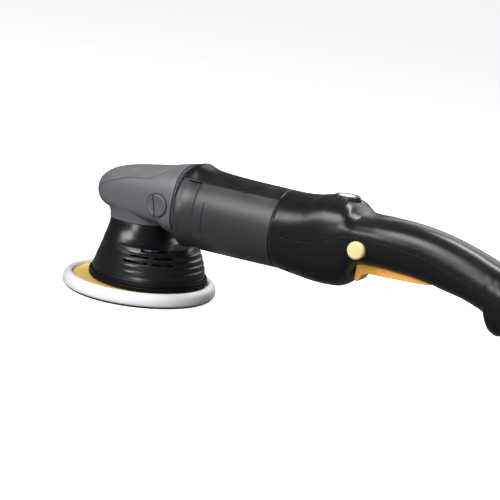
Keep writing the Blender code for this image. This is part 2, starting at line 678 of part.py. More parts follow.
def handle_shell_lower():
    """Lower half, open for the trigger and the lock button."""
    made = handle_shell("handle_shell_lower", False, BLACK)
    cut(made, mesh_object("trigger_opening", box((216.7, -10.6, 50.0), (296.4, 10.6, 86.0))))
    cut(made, mesh_object("button_opening", turned([(0, -60), (8.7, -60), (8.7, -10), (0, -10)], 24,
                                                   (BUTTON_X, 0, BUTTON_Z), "Y")))
    for k, (x, y) in enumerate(SHELL_SCREWS):
        cut(made, mesh_object(f"shell_hole_{k}", turned([(0, 30), (2.0, 30), (2.0, 85), (0, 85)], 12, (x, y, 0))))
    return made


INLET_Z = 66.0
SHELL_SCREWS = [(158.0, 22.0), (158.0, -22.0), (312.0, 0.0)]
SCREW_LOW = [60.6, 60.6, 68.5]
SCREW_TOP = [89.0, 89.0, 88.0]


def shell_screw(number, x, y, low, high):
    profile = [(0, low), (1.7, low), (1.7, high), (0, high)]
    made = mesh_object(f"shell_screw_{number}", turned(profile, 10, (x, y, 0)), STEEL)
    return made


def trigger():
    """Paddle trigger, hinged at its rear end on moulded trunnions."""
    outline = [(218.4, 61.5), (219.8, 59.6), (222.6, 60.4), (225.8, 66.8), (231.0, 68.8), (258.0, 69.8),
               (276.0, 70.4), (288.0, 71.3), (293.6, 73.0), (294.8, 76.0), (290.0, 81.4), (276.0, 82.6), (262.0, 84.0),
               (224.0, 85.0), (219.4, 82.0)]
    made = mesh_object("trigger", prism(outline, -9.8, 9.8), ((0.90, 0.33, 0.03), 0.4))
    step = made.modifiers.new("rounded edges", "BEVEL")
    step.width = 1.2 * MM
    step.segments = 2
    step.limit_method = "ANGLE"
    return made


def lock_button():
    """Lock-on button: a cap in the shell and a stem that reaches the switch."""
    profile = [(0, -31.0), (6.5, -31.0), (8.2, -29.8), (8.2, -21.5), (3.5, -21.5), (3.5, -13.5), (0, -13.5)]
    return mesh_object("lock_button", turned(profile, 24, (BUTTON_X, 0, BUTTON_Z), "Y"),
                       ((0.95, 0.62, 0.16), 0.4))


def speed_dial():
    """Flat knurled dial let into the top of the housing."""
    knurl = toothed(12.2, 0.0, 0.7, 12, 0.7)
    outer = [(r * math.cos(a), r * math.sin(a)) for a, r in knurl]
    rings = [[(DIAL_X + x * f, y * f, z) for x, y in outer]
             for f, z in ((0.2, 123.0), (0.98, 123.0), (1.0, 124.0), (1.0, 133.2), (0.93, 134.0))]
    return mesh_object("speed_dial", loft_mesh(rings), ((0.03, 0.03, 0.032), 0.5))


def switch_module():
    """Main switch with its plunger over the trigger."""
    made = mesh_object("switch_module", box((236.0, -9.5, 94.0), (266.0, 9.5, 114.0)), BLACK)
    cut(made, mesh_object("switch_plunger", box((244.0, -4.0, 91.5), (252.0, 4.0, 95.0))), "UNION")
    return made


def control_board():
    """Speed board under the dial, with its potentiometer and a heat sink."""
    made = mesh_object("control_board", box((172.0, -16.0, 114.0), (222.0, 16.0, 115.6)),
                       ((0.04, 0.20, 0.09), 0.5))
    cut(made, mesh_object("pot_body", box((190.0, -7.0, 115.0), (204.0, 7.0, 122.0))), "UNION")
    cut(made, mesh_object("heat_sink", box((174.0, -12.0, 106.0), (184.0, 12.0, 114.5))), "UNION")
    return made


def cable_inlet():
    """Gland in the rear end of the handle, empty of cord."""
    profile = [(4.2, 357.6), (10.0, 357.6), (10.0, 359.8), (7.9, 359.8), (7.9, 366.4), (9.8, 366.4),
               (9.0, 373.0), (4.2, 373.0)]
    return mesh_object("cable_inlet", turned(profile, 24, (0, 0, INLET_Z), "X"), RUBBER)


def cord_clamp():
    """Bar that holds the cord behind the gland."""
    made = mesh_object("cord_clamp", box((346.0, -10.0, INLET_Z - 8.5), (352.0, 10.0, INLET_Z - 4.8)), BLACK)
    step = made.modifiers.new("rounded edges", "BEVEL")
    step.width = 0.8 * MM
    step.segments = 1
    return made


def lead(name, points, colour):
    """One insulated lead between two terminals."""
    data = bpy.data.curves.new(name, "CURVE")
    data.dimensions = "3D"
    data.bevel_depth = 1.1 * MM
    data.bevel_resolution = 1
    data.use_fill_caps = True
    line = data.splines.new("POLY")
    line.points.add(len(points) - 1)
    for spot, (x, y, z) in zip(line.points, points):
        spot.co = (x * MM, y * MM, z * MM, 1.0)
    made = bpy.data.objects.new(name, data)
    PARTS.objects.link(made)
    data.materials.append(material(name, colour, 0.5))
    return made


gear_head()
head_top_cover()
side_plug(-1, "left")
side_plug(1, "right")
spindle_housing()
ball_bearing("spindle_bearing_upper", 6.2, 14.0, 99.0, 107.0)
ball_bearing("spindle_bearing_lower", 6.2, 14.0, 51.0, 59.0)
vent_bell()
bell_lip()
for number, (x, y) in enumerate(BELL_SCREWS, 1):
    bell_screw(number, x, y)
spindle()
counterweight()
crown_gear()
spindle_nut()
pad_bearing()
pad_arbor()
backing_plate()
foam_rim()
hook_face()
pad_screw()
motor_housing()
top_grip_strip()
front_bearing_plate()
ball_bearing("front_bearing", 5.0, 13.1, 31.2, 37.4, (0, 0, MOTOR_Z), "X")
ball_bearing("rear_bearing", 4.1, 11.1, 148.0, 155.0, (0, 0, MOTOR_Z), "X")
for number, (y, z) in enumerate(SCREW_SPOTS, 1):
    head_screw(number, y, z)
stator_core()
field_coil("left", 180.0)
field_coil("right", 0.0)
fan_baffle()
armature_shaft()
armature_core()
armature_winding("front", 65.6, 59.0)
armature_winding("rear", 110.4, 120.0)
commutator()
cooling_fan()
pinion()
brush_carrier()
brush_holder("left", -1)
brush_holder("right", 1)
carbon_brush("left", -1)
carbon_brush("right", 1)
handle_shell_upper()
handle_shell_lower()
for number, ((x, y), low, high) in enumerate(zip(SHELL_SCREWS, SCREW_LOW, SCREW_TOP), 1):
    shell_screw(number, x, y, low, high)
trigger()
lock_button()
speed_dial()
switch_module()
control_board()
cable_inlet()
cord_clamp()
lead("lead_supply", [(352.0, 0.0, 66.0), (330.0, 6.0, 74.0), (300.0, 10.0, 92.0), (278.0, 8.0, 104.0),
                     (266.4, 4.0, 106.0)], (0.35, 0.18, 0.08))
lead("lead_brush", [(171.6, -9.0, 114.6), (160.0, -8.0, 113.6), (141.0, -8.0, 113.6), (134.0, -16.0, 108.0),
                    (131.0, -21.0, 99.4)], (0.5, 0.05, 0.04))
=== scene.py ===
import math

import bmesh
import bpy
from mathutils import Matrix, Vector


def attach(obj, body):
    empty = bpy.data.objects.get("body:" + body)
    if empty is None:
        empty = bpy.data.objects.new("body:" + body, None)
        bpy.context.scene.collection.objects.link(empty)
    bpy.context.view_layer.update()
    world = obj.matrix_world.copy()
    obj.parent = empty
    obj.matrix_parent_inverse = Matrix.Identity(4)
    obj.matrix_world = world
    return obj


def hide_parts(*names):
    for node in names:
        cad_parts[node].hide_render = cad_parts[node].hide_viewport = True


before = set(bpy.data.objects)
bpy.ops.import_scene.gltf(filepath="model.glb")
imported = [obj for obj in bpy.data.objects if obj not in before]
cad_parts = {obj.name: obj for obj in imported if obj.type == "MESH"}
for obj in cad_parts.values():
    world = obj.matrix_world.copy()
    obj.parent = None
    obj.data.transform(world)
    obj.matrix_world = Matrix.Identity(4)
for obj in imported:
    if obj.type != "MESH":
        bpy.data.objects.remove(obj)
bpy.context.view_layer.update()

# ---- Camera -----------------------------------------------------------------
# A long lens to the left of the tool, past its handle and a little above it, rolled so that the
# tool drops away towards the handle.
camera = bpy.data.objects.new("camera", bpy.data.cameras.new("camera"))
camera.location = (0.7264, -1.2582, 0.373)
camera.rotation_euler = [math.radians(turn) for turn in (77.437, -7.201, 27.831)]
camera.data.sensor_width = 36.0
camera.data.lens = 110.16
bpy.context.scene.collection.objects.link(camera)
bpy.context.scene.camera = camera

# ---- Studio -----------------------------------------------------------------
# A pale floor in a white room. Two tall boxes on the tool's left are the keys, a long strip hangs
# beyond the handle, and two more boxes fill from near the camera and from the tool's right.
bpy.context.scene.view_settings.view_transform = "Standard"


def node(tree, kind, settings=None, **inputs):
    """One shader node. Inputs go by socket name, with _ for a space, or by number, as i0, and take a
    value or a socket."""
    made = tree.nodes.new("ShaderNode" + kind)
    for name, value in (settings or {}).items():
        setattr(made, name, value)
    for name, value in inputs.items():
        name = name.replace("_", " ")
        socket = made.inputs[int(name[1:])] if name[0] == "i" and name[1:].isdigit() else made.inputs[name]
        if isinstance(value, bpy.types.NodeSocket):
            tree.links.new(value, socket)
        else:
            socket.default_value = value
    return made


def blank(name):
    """An empty node material and its tree."""
    made = bpy.data.materials.new(name)
    made.use_nodes = True
    made.node_tree.nodes.clear()
    return made, made.node_tree


floor_mesh = bmesh.new()
bmesh.ops.create_circle(floor_mesh, cap_ends=True, segments=64, radius=9.0)
floor_data = bpy.data.meshes.new("floor")
floor_mesh.to_mesh(floor_data)
floor_mesh.free()
floor = bpy.data.objects.new("floor", floor_data)
bpy.context.scene.collection.objects.link(floor)
floor_paint, tree = blank("pale_floor")
speckle = node(tree, "TexNoise", Scale=30.0, Vector=node(tree, "TexCoord").outputs["Object"])
tint = node(tree, "Mix", {"data_type": "RGBA"}, Factor=speckle.outputs["Fac"])
tint.inputs[6].default_value = (0.90, 0.90, 0.90, 1.0)
tint.inputs[7].default_value = (0.93, 0.93, 0.93, 1.0)
pale = node(tree, "BsdfPrincipled", Base_Color=tint.outputs[2], Roughness=0.9)
glow = node(tree, "Emission", Color=(1.0, 1.0, 1.0, 1.0), Strength=0.8)
lit = node(tree, "AddShader", i0=pale.outputs["BSDF"], i1=glow.outputs["Emission"])
dim = node(tree, "BsdfDiffuse", Color=(0.15, 0.15, 0.155, 1.0))
seen = node(tree, "LightPath").outputs["Is Camera Ray"]
surface = node(tree, "MixShader", i0=seen, i1=dim.outputs["BSDF"], i2=lit.outputs["Shader"])
node(tree, "OutputMaterial", Surface=surface.outputs["Shader"])
floor_data.materials.append(floor_paint)

world = bpy.data.worlds.new("white_room")
bpy.context.scene.world = world
world.use_nodes = True
world.node_tree.nodes.clear()
seen = node(world.node_tree, "LightPath").outputs["Is Camera Ray"]
strength = node(world.node_tree, "MapRange", Value=seen, To_Min=0.12, To_Max=1.0)
sky = node(world.node_tree, "Background", Color=(1.0, 1.0, 1.0, 1.0), Strength=strength.outputs["Result"])
node(world.node_tree, "OutputWorld", Surface=sky.outputs["Background"])


def soft_box(name, spot, aim, width, height, power):
    """A rectangular lamp at a spot, turned to its aim; metres and watts."""
    lamp = bpy.data.lights.new(name, "AREA")
    lamp.shape = "RECTANGLE"
    lamp.size, lamp.size_y, lamp.energy = width, height, power
    made = bpy.data.objects.new(name, lamp)
    made.location = spot
    made.rotation_euler = (Vector(aim) - Vector(spot)).to_track_quat("-Z", "Y").to_euler()
    bpy.context.scene.collection.objects.link(made)


soft_box("key_box", (-0.05, -1.15, 1.00), (0.03, 0.0, 0.07), 0.45, 0.7, 13.0)
soft_box("side_box", (-0.48, -0.98, 1.05), (0.12, 0.0, 0.08), 0.45, 0.6, 9.0)
soft_box("overhead_strip", (0.55, 0.38, 1.15), (0.28, 0.0, 0.09), 1.0, 0.2, 14.0)
soft_box("front_box", (0.30, -1.70, 0.45), (0.12, 0.0, 0.09), 0.5, 0.4, 9.0)
soft_box("back_box", (0.2, 1.4, 0.9), (0.1, 0.0, 0.08), 1.2, 0.8, 6.0)


# ---- Gear head --------------------------------------------------------------
# The grey head holds the bevel gears and the spindle. It is one die casting with a fine matt coat,
# necked in below where the bell is screwed on, and cut back on top where the crown cover clips in.
MM = 0.001  # Shapes are worked out in millimetres.


def eased(rows, station):
    """The row of a section table at a station, on a smooth curve that never overshoots."""
    k = 0
    while k < len(rows) - 2 and station > rows[k + 1][0]:
        k += 1

    def secant(i, c):
        return (rows[i + 1][c] - rows[i][c]) / (rows[i + 1][0] - rows[i][0])

    def slope(i, c):
        if i == 0:
            return secant(0, c)
        if i == len(rows) - 1:
            return secant(i - 1, c)
        a, b = secant(i - 1, c), secant(i, c)
        return 2 * a * b / (a + b) if a * b > 0 else 0.0

    width = rows[k + 1][0] - rows[k][0]
    t = min(1.0, max(0.0, (station - rows[k][0]) / width))
    row = [station]
    for c in range(1, len(rows[0])):
        leaving = (t ** 3 - 2 * t ** 2 + t) * width * slope(k, c)
        arriving = (t ** 3 - t ** 2) * width * slope(k + 1, c)
        row.append((2 * t ** 3 - 3 * t ** 2 + 1) * rows[k][c] + leaving
                   + (3 * t ** 2 - 2 * t ** 3) * rows[k + 1][c] + arriving)
    return row


def stations(start, stop, step):
    """Even steps of about the given size, with both ends."""
    count = max(1, round(abs(stop - start) / step))
    return [start + (stop - start) * k / count for k in range(count + 1)]


def lofted(rows, turns, spot, loop=False):
    """A skin through one closed section per row. spot(row, angle) is a point in mm. A loop joins its
    last section to its first."""
    rows = rows + rows[:1] if loop else rows
    mesh = bmesh.new()
    bmesh.ops.create_grid(mesh, x_segments=len(rows) - 1, y_segments=turns, size=0.5)
    for v in mesh.verts:
        level = round((v.co.x + 0.5) * (len(rows) - 1))
        turn = round((v.co.y + 0.5) * turns) % turns
        v.co = Vector(spot(rows[level], 2 * math.pi * turn / turns)) * MM
    bmesh.ops.remove_doubles(mesh, verts=mesh.verts, dist=2e-6)
    if not loop:
        bmesh.ops.holes_fill(mesh, edges=[e for e in mesh.edges if e.is_boundary], sides=0)
    bmesh.ops.recalc_face_normals(mesh, faces=mesh.faces)
    return mesh


def power_point(angle, power):
    """Cosine and sine of a rounded box: power 2 is an ellipse, and more is squarer."""
    c, s = math.cos(angle), math.sin(angle)
    return math.copysign(abs(c) ** (2 / power), c), math.copysign(abs(s) ** (2 / power), s)


def solid(name, mesh, angle=35.0):
    """Turns a bmesh into an object, smooth except where faces meet at more than the angle."""
    data = bpy.data.meshes.new(name)
    mesh.to_mesh(data)
    mesh.free()
    data.shade_smooth()
    data.set_sharp_from_angle(angle=math.radians(angle))
    made = bpy.data.objects.new(name, data)
    bpy.context.scene.collection.objects.link(made)
    return made


def settle(piece):
    """Applies a piece's modifiers to its mesh."""
    bpy.context.view_layer.update()
    graph = bpy.context.evaluated_depsgraph_get()
    data = bpy.data.meshes.new_from_object(piece.evaluated_get(graph))
    piece.modifiers.clear()
    piece.data = data
    data.shade_smooth()
    data.set_sharp_from_angle(angle=math.radians(35.0))
    return piece


def carve(piece, *tools, operation="DIFFERENCE"):
    """Cuts a piece with each tool, or joins or meets them, and throws the tools away."""
    for tool in tools:
        step = piece.modifiers.new("carve", "BOOLEAN")
        step.operation, step.solver, step.object = operation, "EXACT", tool
        settle(piece)
        bpy.data.objects.remove(tool)
    return piece


def copy_of(piece, name):
    made = bpy.data.objects.new(name, piece.data.copy())
    bpy.context.scene.collection.objects.link(made)
    return made


def slab(name, outline, low, high, along="Y"):
    """An outline pushed through: (x, z) along Y, (y, z) along X or (x, y) along Z, all in mm."""
    axis = "XYZ".index(along)
    mesh = bmesh.new()
    corners = [(*point[:axis], low, *point[axis:]) for point in outline]
    face = mesh.faces.new([mesh.verts.new(corner) for corner in corners])
    grown = bmesh.ops.extrude_face_region(mesh, geom=[face])["geom"]
    push = [high - low if axis == k else 0.0 for k in range(3)]
    bmesh.ops.translate(mesh, vec=push, verts=[v for v in grown if isinstance(v, bmesh.types.BMVert)])
    bmesh.ops.recalc_face_normals(mesh, faces=mesh.faces)
    bmesh.ops.scale(mesh, vec=(MM, MM, MM), verts=mesh.verts)
    return solid(name, mesh)


def turned(name, profile, steps=64, centre=(0.0, 0.0, 0.0), along="Z", angle=35.0):
    """A profile of (radius, height) in mm spun about an axis. It closes on itself unless it reaches
    the axis."""
    mesh = bmesh.new()
    verts = [mesh.verts.new((radius, 0, height)) for radius, height in profile]
    edges = [mesh.edges.new(pair) for pair in zip(verts, verts[1:])]
    if min(radius for radius, _ in profile) > 0:
        edges.append(mesh.edges.new((verts[-1], verts[0])))
    bmesh.ops.spin(mesh, geom=verts + edges, cent=(0, 0, 0), axis=(0, 0, 1), dvec=(0, 0, 0),
                   angle=2 * math.pi, steps=steps, use_merge=True)
    bmesh.ops.remove_doubles(mesh, verts=mesh.verts, dist=1e-4)
    if along != "Z":
        turn = Matrix.Rotation(math.radians(90), 3, "Y") if along == "X" else Matrix.Rotation(
            math.radians(-90), 3, "X")
        bmesh.ops.rotate(mesh, cent=(0, 0, 0), matrix=turn, verts=mesh.verts)
    bmesh.ops.translate(mesh, vec=centre, verts=mesh.verts)
    bmesh.ops.scale(mesh, vec=(MM, MM, MM), verts=mesh.verts)
    bmesh.ops.recalc_face_normals(mesh, faces=mesh.faces)
    return solid(name, mesh, angle)


def drill(radius, low, high, steps, centre=(0.0, 0.0, 0.0), along="Z"):
    """A plain round cutter from one height to another."""
    return turned("drill", [(0, low), (radius, low), (radius, high), (0, high)], steps, centre, along)


def soften(piece, width, segments=2, angle=40.0):
    """Rounds the sharp edges of a piece and keeps the result."""
    step = piece.modifiers.new("soften", "BEVEL")
    step.width, step.segments, step.limit_method = width * MM, segments, "ANGLE"
    step.angle_limit = math.radians(angle)
    return settle(piece)


def shader_group(name, inputs, outputs):
    """A node group: inputs are (name, socket type, default), outputs (name, socket type)."""
    tree = bpy.data.node_groups.new(name, "ShaderNodeTree")
    for label, kind, value in inputs:
        socket = tree.interface.new_socket(label, in_out="INPUT", socket_type="NodeSocket" + kind)
        if value is not None:
            socket.default_value = value
    for label, kind in outputs:
        tree.interface.new_socket(label, in_out="OUTPUT", socket_type="NodeSocket" + kind)
    return tree, tree.nodes.new("NodeGroupInput").outputs, tree.nodes.new("NodeGroupOutput").inputs


# Spark-eroded texture of a mould or a fine coat: tight grain for the bump, slow drift for the tone.
skin_grain, given, gives = shader_group(
    "skin_grain", [("Vector", "Vector", None), ("Scale", "Float", 900.0), ("Drift", "Float", 14.0)],
    [("Height", "Float"), ("Tone", "Float")])
pits = node(skin_grain, "TexVoronoi", {"feature": "SMOOTH_F1"}, Vector=given["Vector"], Scale=given["Scale"])
fine = node(skin_grain, "TexNoise", Vector=given["Vector"], Scale=given["Scale"], Detail=3.0)
both = node(skin_grain, "Math", {"operation": "MULTIPLY_ADD"}, i0=pits.outputs["Distance"], i1=0.6,
            i2=fine.outputs["Fac"])
cloud = node(skin_grain, "TexNoise", Vector=given["Vector"], Scale=given["Drift"], Detail=4.0)
skin_grain.links.new(both.outputs[0], gives["Height"])
skin_grain.links.new(cloud.outputs["Fac"], gives["Tone"])

# Rubbed edges: where a small rounding would turn the surface, broken up by noise.
rubbed_edge, given, gives = shader_group(
    "rubbed_edge", [("Vector", "Vector", None), ("Radius", "Float", 0.0006)],
    [("Mask", "Float"), ("Normal", "Vector")])
rounding = node(rubbed_edge, "Bevel", {"samples": 4}, Radius=given["Radius"])
flat_normal = node(rubbed_edge, "NewGeometry")
agree = node(rubbed_edge, "VectorMath", {"operation": "DOT_PRODUCT"}, i0=rounding.outputs["Normal"],
             i1=flat_normal.outputs["Normal"])
bend = node(rubbed_edge, "MapRange", Value=agree.outputs["Value"], From_Min=0.995, From_Max=0.86)
broken = node(rubbed_edge, "TexNoise", Vector=given["Vector"], Scale=260.0, Detail=3.0)
scuff = node(rubbed_edge, "Math", {"operation": "MULTIPLY"}, i0=bend.outputs["Result"],
             i1=broken.outputs["Fac"])
rubbed_edge.links.new(scuff.outputs[0], gives["Mask"])
rubbed_edge.links.new(rounding.outputs["Normal"], gives["Normal"])

# Polishing dust: a pale film on whatever faces up, thin and patchy.
settled_dust, given, gives = shader_group(
    "settled_dust", [("Vector", "Vector", None), ("Amount", "Float", 0.15)], [("Mask", "Float")])
facing = node(settled_dust, "SeparateXYZ", Vector=node(settled_dust, "NewGeometry").outputs["Normal"])
upward = node(settled_dust, "MapRange", Value=facing.outputs["Z"], From_Min=0.2, From_Max=1.0)
patch = node(settled_dust, "TexNoise", Vector=given["Vector"], Scale=45.0, Detail=6.0, Roughness=0.7)
thin = node(settled_dust, "MapRange", Value=patch.outputs["Fac"], From_Min=0.42, From_Max=0.72)
film = node(settled_dust, "Math", {"operation": "MULTIPLY"}, i0=upward.outputs["Result"],
            i1=thin.outputs["Result"])
film = node(settled_dust, "Math", {"operation": "MULTIPLY"}, i0=film.outputs[0], i1=given["Amount"])
settled_dust.links.new(film.outputs[0], gives["Mask"])


def use(tree, group, **inputs):
    """Places a node group in a material, with its own values."""
    return node(tree, "Group", {"node_tree": group}, **inputs)


def blend_colour(tree, factor, low, high):
    """A mix of two colours, each a socket or a value."""
    made = node(tree, "Mix", {"data_type": "RGBA"}, Factor=factor)
    for socket, value in ((made.inputs[6], low), (made.inputs[7], high)):
        if isinstance(value, bpy.types.NodeSocket):
            tree.links.new(value, socket)
        else:
            socket.default_value = (*value, 1.0)
    return made.outputs[2]


def moulded(name, colour, rough, grain=900.0, depth=0.12, drift=0.12, rub=0.35, dust=0.10, edge=0.5, **fixed):
    """Moulded or coated skin: colour that drifts a little, grain, rubbed edges and a film of dust."""
    made, tree = blank(name)
    place = node(tree, "TexCoord").outputs["Object"]
    skin = use(tree, skin_grain, Vector=place, Scale=grain)
    edges = use(tree, rubbed_edge, Vector=place, Radius=edge * MM)
    film = use(tree, settled_dust, Vector=place, Amount=dust)
    dark = [c * (1 - drift) for c in colour]
    light = [min(1.0, c * (1 + drift)) for c in colour]
    tone = blend_colour(tree, skin.outputs["Tone"], dark, light)
    worn = [min(1.0, c * 1.5 + 0.06) for c in colour]
    wear = node(tree, "Math", {"operation": "MULTIPLY"}, i0=edges.outputs["Mask"], i1=rub)
    tone = blend_colour(tree, wear.outputs[0], tone, worn)
    tone = blend_colour(tree, film.outputs["Mask"], tone, (0.55, 0.54, 0.52))
    sheen = node(tree, "MapRange", Value=skin.outputs["Tone"], To_Min=rough - 0.06, To_Max=rough + 0.06)
    matt = node(tree, "Math", {"operation": "ADD"}, i0=sheen.outputs["Result"], i1=film.outputs["Mask"])
    bump = node(tree, "Bump", Strength=depth, Distance=0.0004, Height=skin.outputs["Height"],
                Normal=edges.outputs["Normal"])
    surface = node(tree, "BsdfPrincipled", Base_Color=tone, Roughness=matt.outputs[0],
                   Normal=bump.outputs["Normal"], **fixed)
    node(tree, "OutputMaterial", Surface=surface.outputs["BSDF"])
    return made


def dress(piece, finish, body, slot, *nodes):
    """Gives a piece its finish and its body, and hides the solids it stands for. The slot is not used."""
    piece.data.materials.clear()
    piece.data.materials.append(finish)
    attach(piece, body)
    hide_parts(*nodes)


MOTOR_Z = 90.5
PLUG_X, PLUG_Z = 22.0, 93.0
# x, top, bottom, height of the widest line, half width, squareness
HEAD = [(-56.1, 97.7, 96.5, 97.1, 0.6, 2.0), (-55.5, 101.0, 93.0, 97.0, 12.0, 2.3),
        (-54.5, 105.0, 89.5, 96.6, 19.0, 2.4), (-51.5, 109.6, 85.5, 95.2, 25.5, 2.5),
        (-47.0, 113.4, 81.0, 93.0, 30.0, 2.6), (-40.0, 116.6, 77.5, 91.2, 33.4, 2.7),
        (-28.0, 119.4, 75.5, 90.5, 35.8, 2.9), (-10.0, 122.4, 73.0, 90.5, 37.2, 3.0),
        (10.0, 125.9, 70.8, 90.5, 37.6, 3.0), (21.0, 128.6, 70.0, 90.5, 37.6, 2.9),
        (28.0, 130.2, 65.4, 90.5, 37.6, 2.8), (38.0, 132.5, 64.0, 90.5, 37.6, 2.6)]
# x, how far the rear end steps in to meet the barrel
SHOULDER = [(36.9, 0.15), (37.15, 0.7), (37.25, 2.8), (38.0, 2.9)]
NOSE = [-56.1, -56.0, -55.8, -55.5, -55.2, -54.8, -54.3, -53.6, -52.8, -51.8, -50.6, -49.2, -47.5]


def head_form(name, shrink=0.0):
    """The outer form of the head, or the same form a little smaller."""
    rows = [eased(HEAD, x) for x in NOSE + stations(-46.0, 36.4, 2.1)]
    rows = [row for row in rows if row[4] > shrink + 0.5 and row[1] - row[3] > shrink + 0.3]
    rows += [eased(HEAD, x) + [cut_in] for x, cut_in in SHOULDER]

    def spot(row, angle):
        x, top, bottom, mid, half, power = row[:6]
        less = shrink + (row[6] if len(row) > 6 else 0.0)
        c, s = power_point(angle, power)
        reach = top - mid if s > 0 else mid - bottom
        x += shrink * max(0.0, (-28.0 - x) / 27.5)
        return (x, max(0.0, half - less) * c, mid + max(0.0, reach - less) * s)

    return solid(name, lofted(rows, 112, spot))


def oval(z, front, rear, half, power, angle):
    """A point on a level oval that reaches from front to rear along X."""
    c, s = power_point(angle, power)
    return ((front + rear) / 2 + (rear - front) / 2 * c, half * s, z)


# z, front x, rear x, half width of the neck, flared into the underside of the head
NECK = [(69.8, -43.5, 20.5, 33.0), (72.0, -43.5, 20.6, 33.1), (75.0, -43.9, 21.2, 33.6),
        (78.0, -45.2, 22.4, 34.3), (81.0, -47.4, 23.6, 35.2), (84.0, -49.9, 24.6, 36.2),
        (86.5, -51.4, 25.0, 36.6)]
# x, z along the lower edge of the crown cover
CROWN_EDGE = [(-75.0, 95.0), (-56.0, 96.5), (-30.0, 107.0), (-12.0, 113.0), (6.0, 115.0), (20.0, 122.5),
              (32.0, 134.0)]
CROWN_STEP, CROWN_WALL, CROWN_GAP = 2.8, 2.2, 0.35
# x, y of the screws under the neck, and y, z from the motor axis of those in from the barrel
BELL_SCREWS = [(-8.0, 24.0), (-8.0, -24.0)]
HEAD_SCREWS = [(22.0, 17.5), (-22.0, 17.5), (-22.0, -17.5), (22.0, -17.5)]


def above_crown_edge(name, lift):
    """All that lies above the lower edge of the crown cover, lifted a little."""
    line = [(x, eased(CROWN_EDGE, x)[1] + lift) for x in stations(-75.0, 32.0, 2.5)]
    return slab(name, line + [(32.0, 160.0), (-75.0, 160.0)], -60.0, 60.0)


gear_head = head_form("head_casting")
neck_rows = [eased(NECK, z) for z in stations(69.8, 86.5, 0.9)]
neck = solid("neck", lofted(neck_rows, 112, lambda row, a: oval(*row, 2.2, a)))
carve(gear_head, neck, operation="UNION")
recess = carve(above_crown_edge("recess", 0.0), head_form("under_crown", CROWN_STEP))
carve(gear_head, recess)
# x, top, bottom, height of the widest line, half width of the space for the gears
CHAMBER = [(-47, 104, 90, 97, 16), (-41, 109, 84, 90.5, 25), (-28, 113, 79.5, 90.5, 29.5),
           (-10, 115.5, 77.5, 90.5, 30.5), (12, 117, 76.5, 90.5, 30.5), (24, 116, 73, 90.5, 28)]


def chamber_spot(row, angle):
    x, top, bottom, mid, half = row
    c, s = power_point(angle, 2.6)
    return (x, half * c, mid + (top - mid if s > 0 else mid - bottom) * s)


chamber = solid("chamber", lofted(CHAMBER, 48, chamber_spot))
carve(chamber, turned("roof_boss", [(13.2, 98.5), (18.0, 98.5), (18.0, 121.0), (13.2, 121.0)], 32))
carve(gear_head, chamber,
      drill(22.5, 12, 45, 48, (0, 0, MOTOR_Z), "X"),
      turned("neck_bore", [(0, 60), (16.9, 60), (16.9, 76), (27.4, 76), (27.4, 87), (0, 87)], 48),
      drill(14.2, 98, 108.5, 48))
for side in (-1, 1):
    bore = [(0, 26), (7.3, 26), (7.3, 34.0), (11.5, 34.0), (11.5, 60), (0, 60)]
    carve(gear_head, turned("plug_bore", [(r, side * y) for r, y in bore], 48, (PLUG_X, 0, PLUG_Z), "Y"))
for y, z in HEAD_SCREWS:
    carve(gear_head, drill(2.8, 23, 45, 12, (0, y, MOTOR_Z + z), "X"))
for x, y in BELL_SCREWS:
    carve(gear_head, drill(1.8, 60, 75.2, 12, (x, y, 0)))
dress(gear_head, moulded("head_coat", (0.120, 0.120, 0.138), 0.48, 1100.0, 0.16, rub=0.5, Metallic=0.15),
      "housing", "head_casting", "gear_head")

# ---- Crown cover ------------------------------------------------------------
# A grey moulding that clips into the step on top of the head, with a thin gap all round.
crown = head_form("crown_cover")
carve(crown, above_crown_edge("keep", CROWN_GAP), operation="INTERSECT")
carve(crown, head_form("crown_inside", CROWN_WALL))
dress(crown, moulded("crown_grey", (0.125, 0.125, 0.138), 0.44, 1000.0, 0.14, rub=0.3),
      "housing", "top_cover", "head_top_cover")

# ---- Side plugs -------------------------------------------------------------
# Nylon plugs screwed into the bosses for a side handle, with a tilted coin slot across each face.
plug_finish = moulded("plug_nylon", (0.100, 0.100, 0.114), 0.42, 1200.0, 0.10)
PLUG = [(0, 29.0), (7.0, 29.0), (7.0, 34.3), (10.8, 34.3), (10.8, 38.5), (10.0, 39.4), (7.6, 39.4),
        (7.2, 39.0), (0, 39.0)]
right_plug = soften(turned("boss_plug_right", PLUG, 72, (PLUG_X, 0, PLUG_Z), "Y"), 0.3)
# across and along the coin slot, whose middle is a little ahead of the plug's
SLOT = [(-1.4, -15.0), (1.4, -15.0), (1.4, 15.0), (-1.4, 15.0)]
SLOT_X, SLOT_FLOOR, LEAN = PLUG_X - 1.5, 37.2, math.radians(-12.0)
slot_line = [(SLOT_X + a * math.cos(LEAN) + b * math.sin(LEAN),
              PLUG_Z - a * math.sin(LEAN) + b * math.cos(LEAN)) for a, b in SLOT]
carve(right_plug, slab("coin_slot", slot_line, SLOT_FLOOR, 42.0))
left_plug = copy_of(right_plug, "boss_plug_left")
for v in left_plug.data.vertices:
    v.co.y = -v.co.y
left_plug.data.flip_normals()
for plug, label in ((left_plug, "left"), (right_plug, "right")):
    dress(plug, plug_finish, "housing", "plug_grey", f"side_plug_{label}")

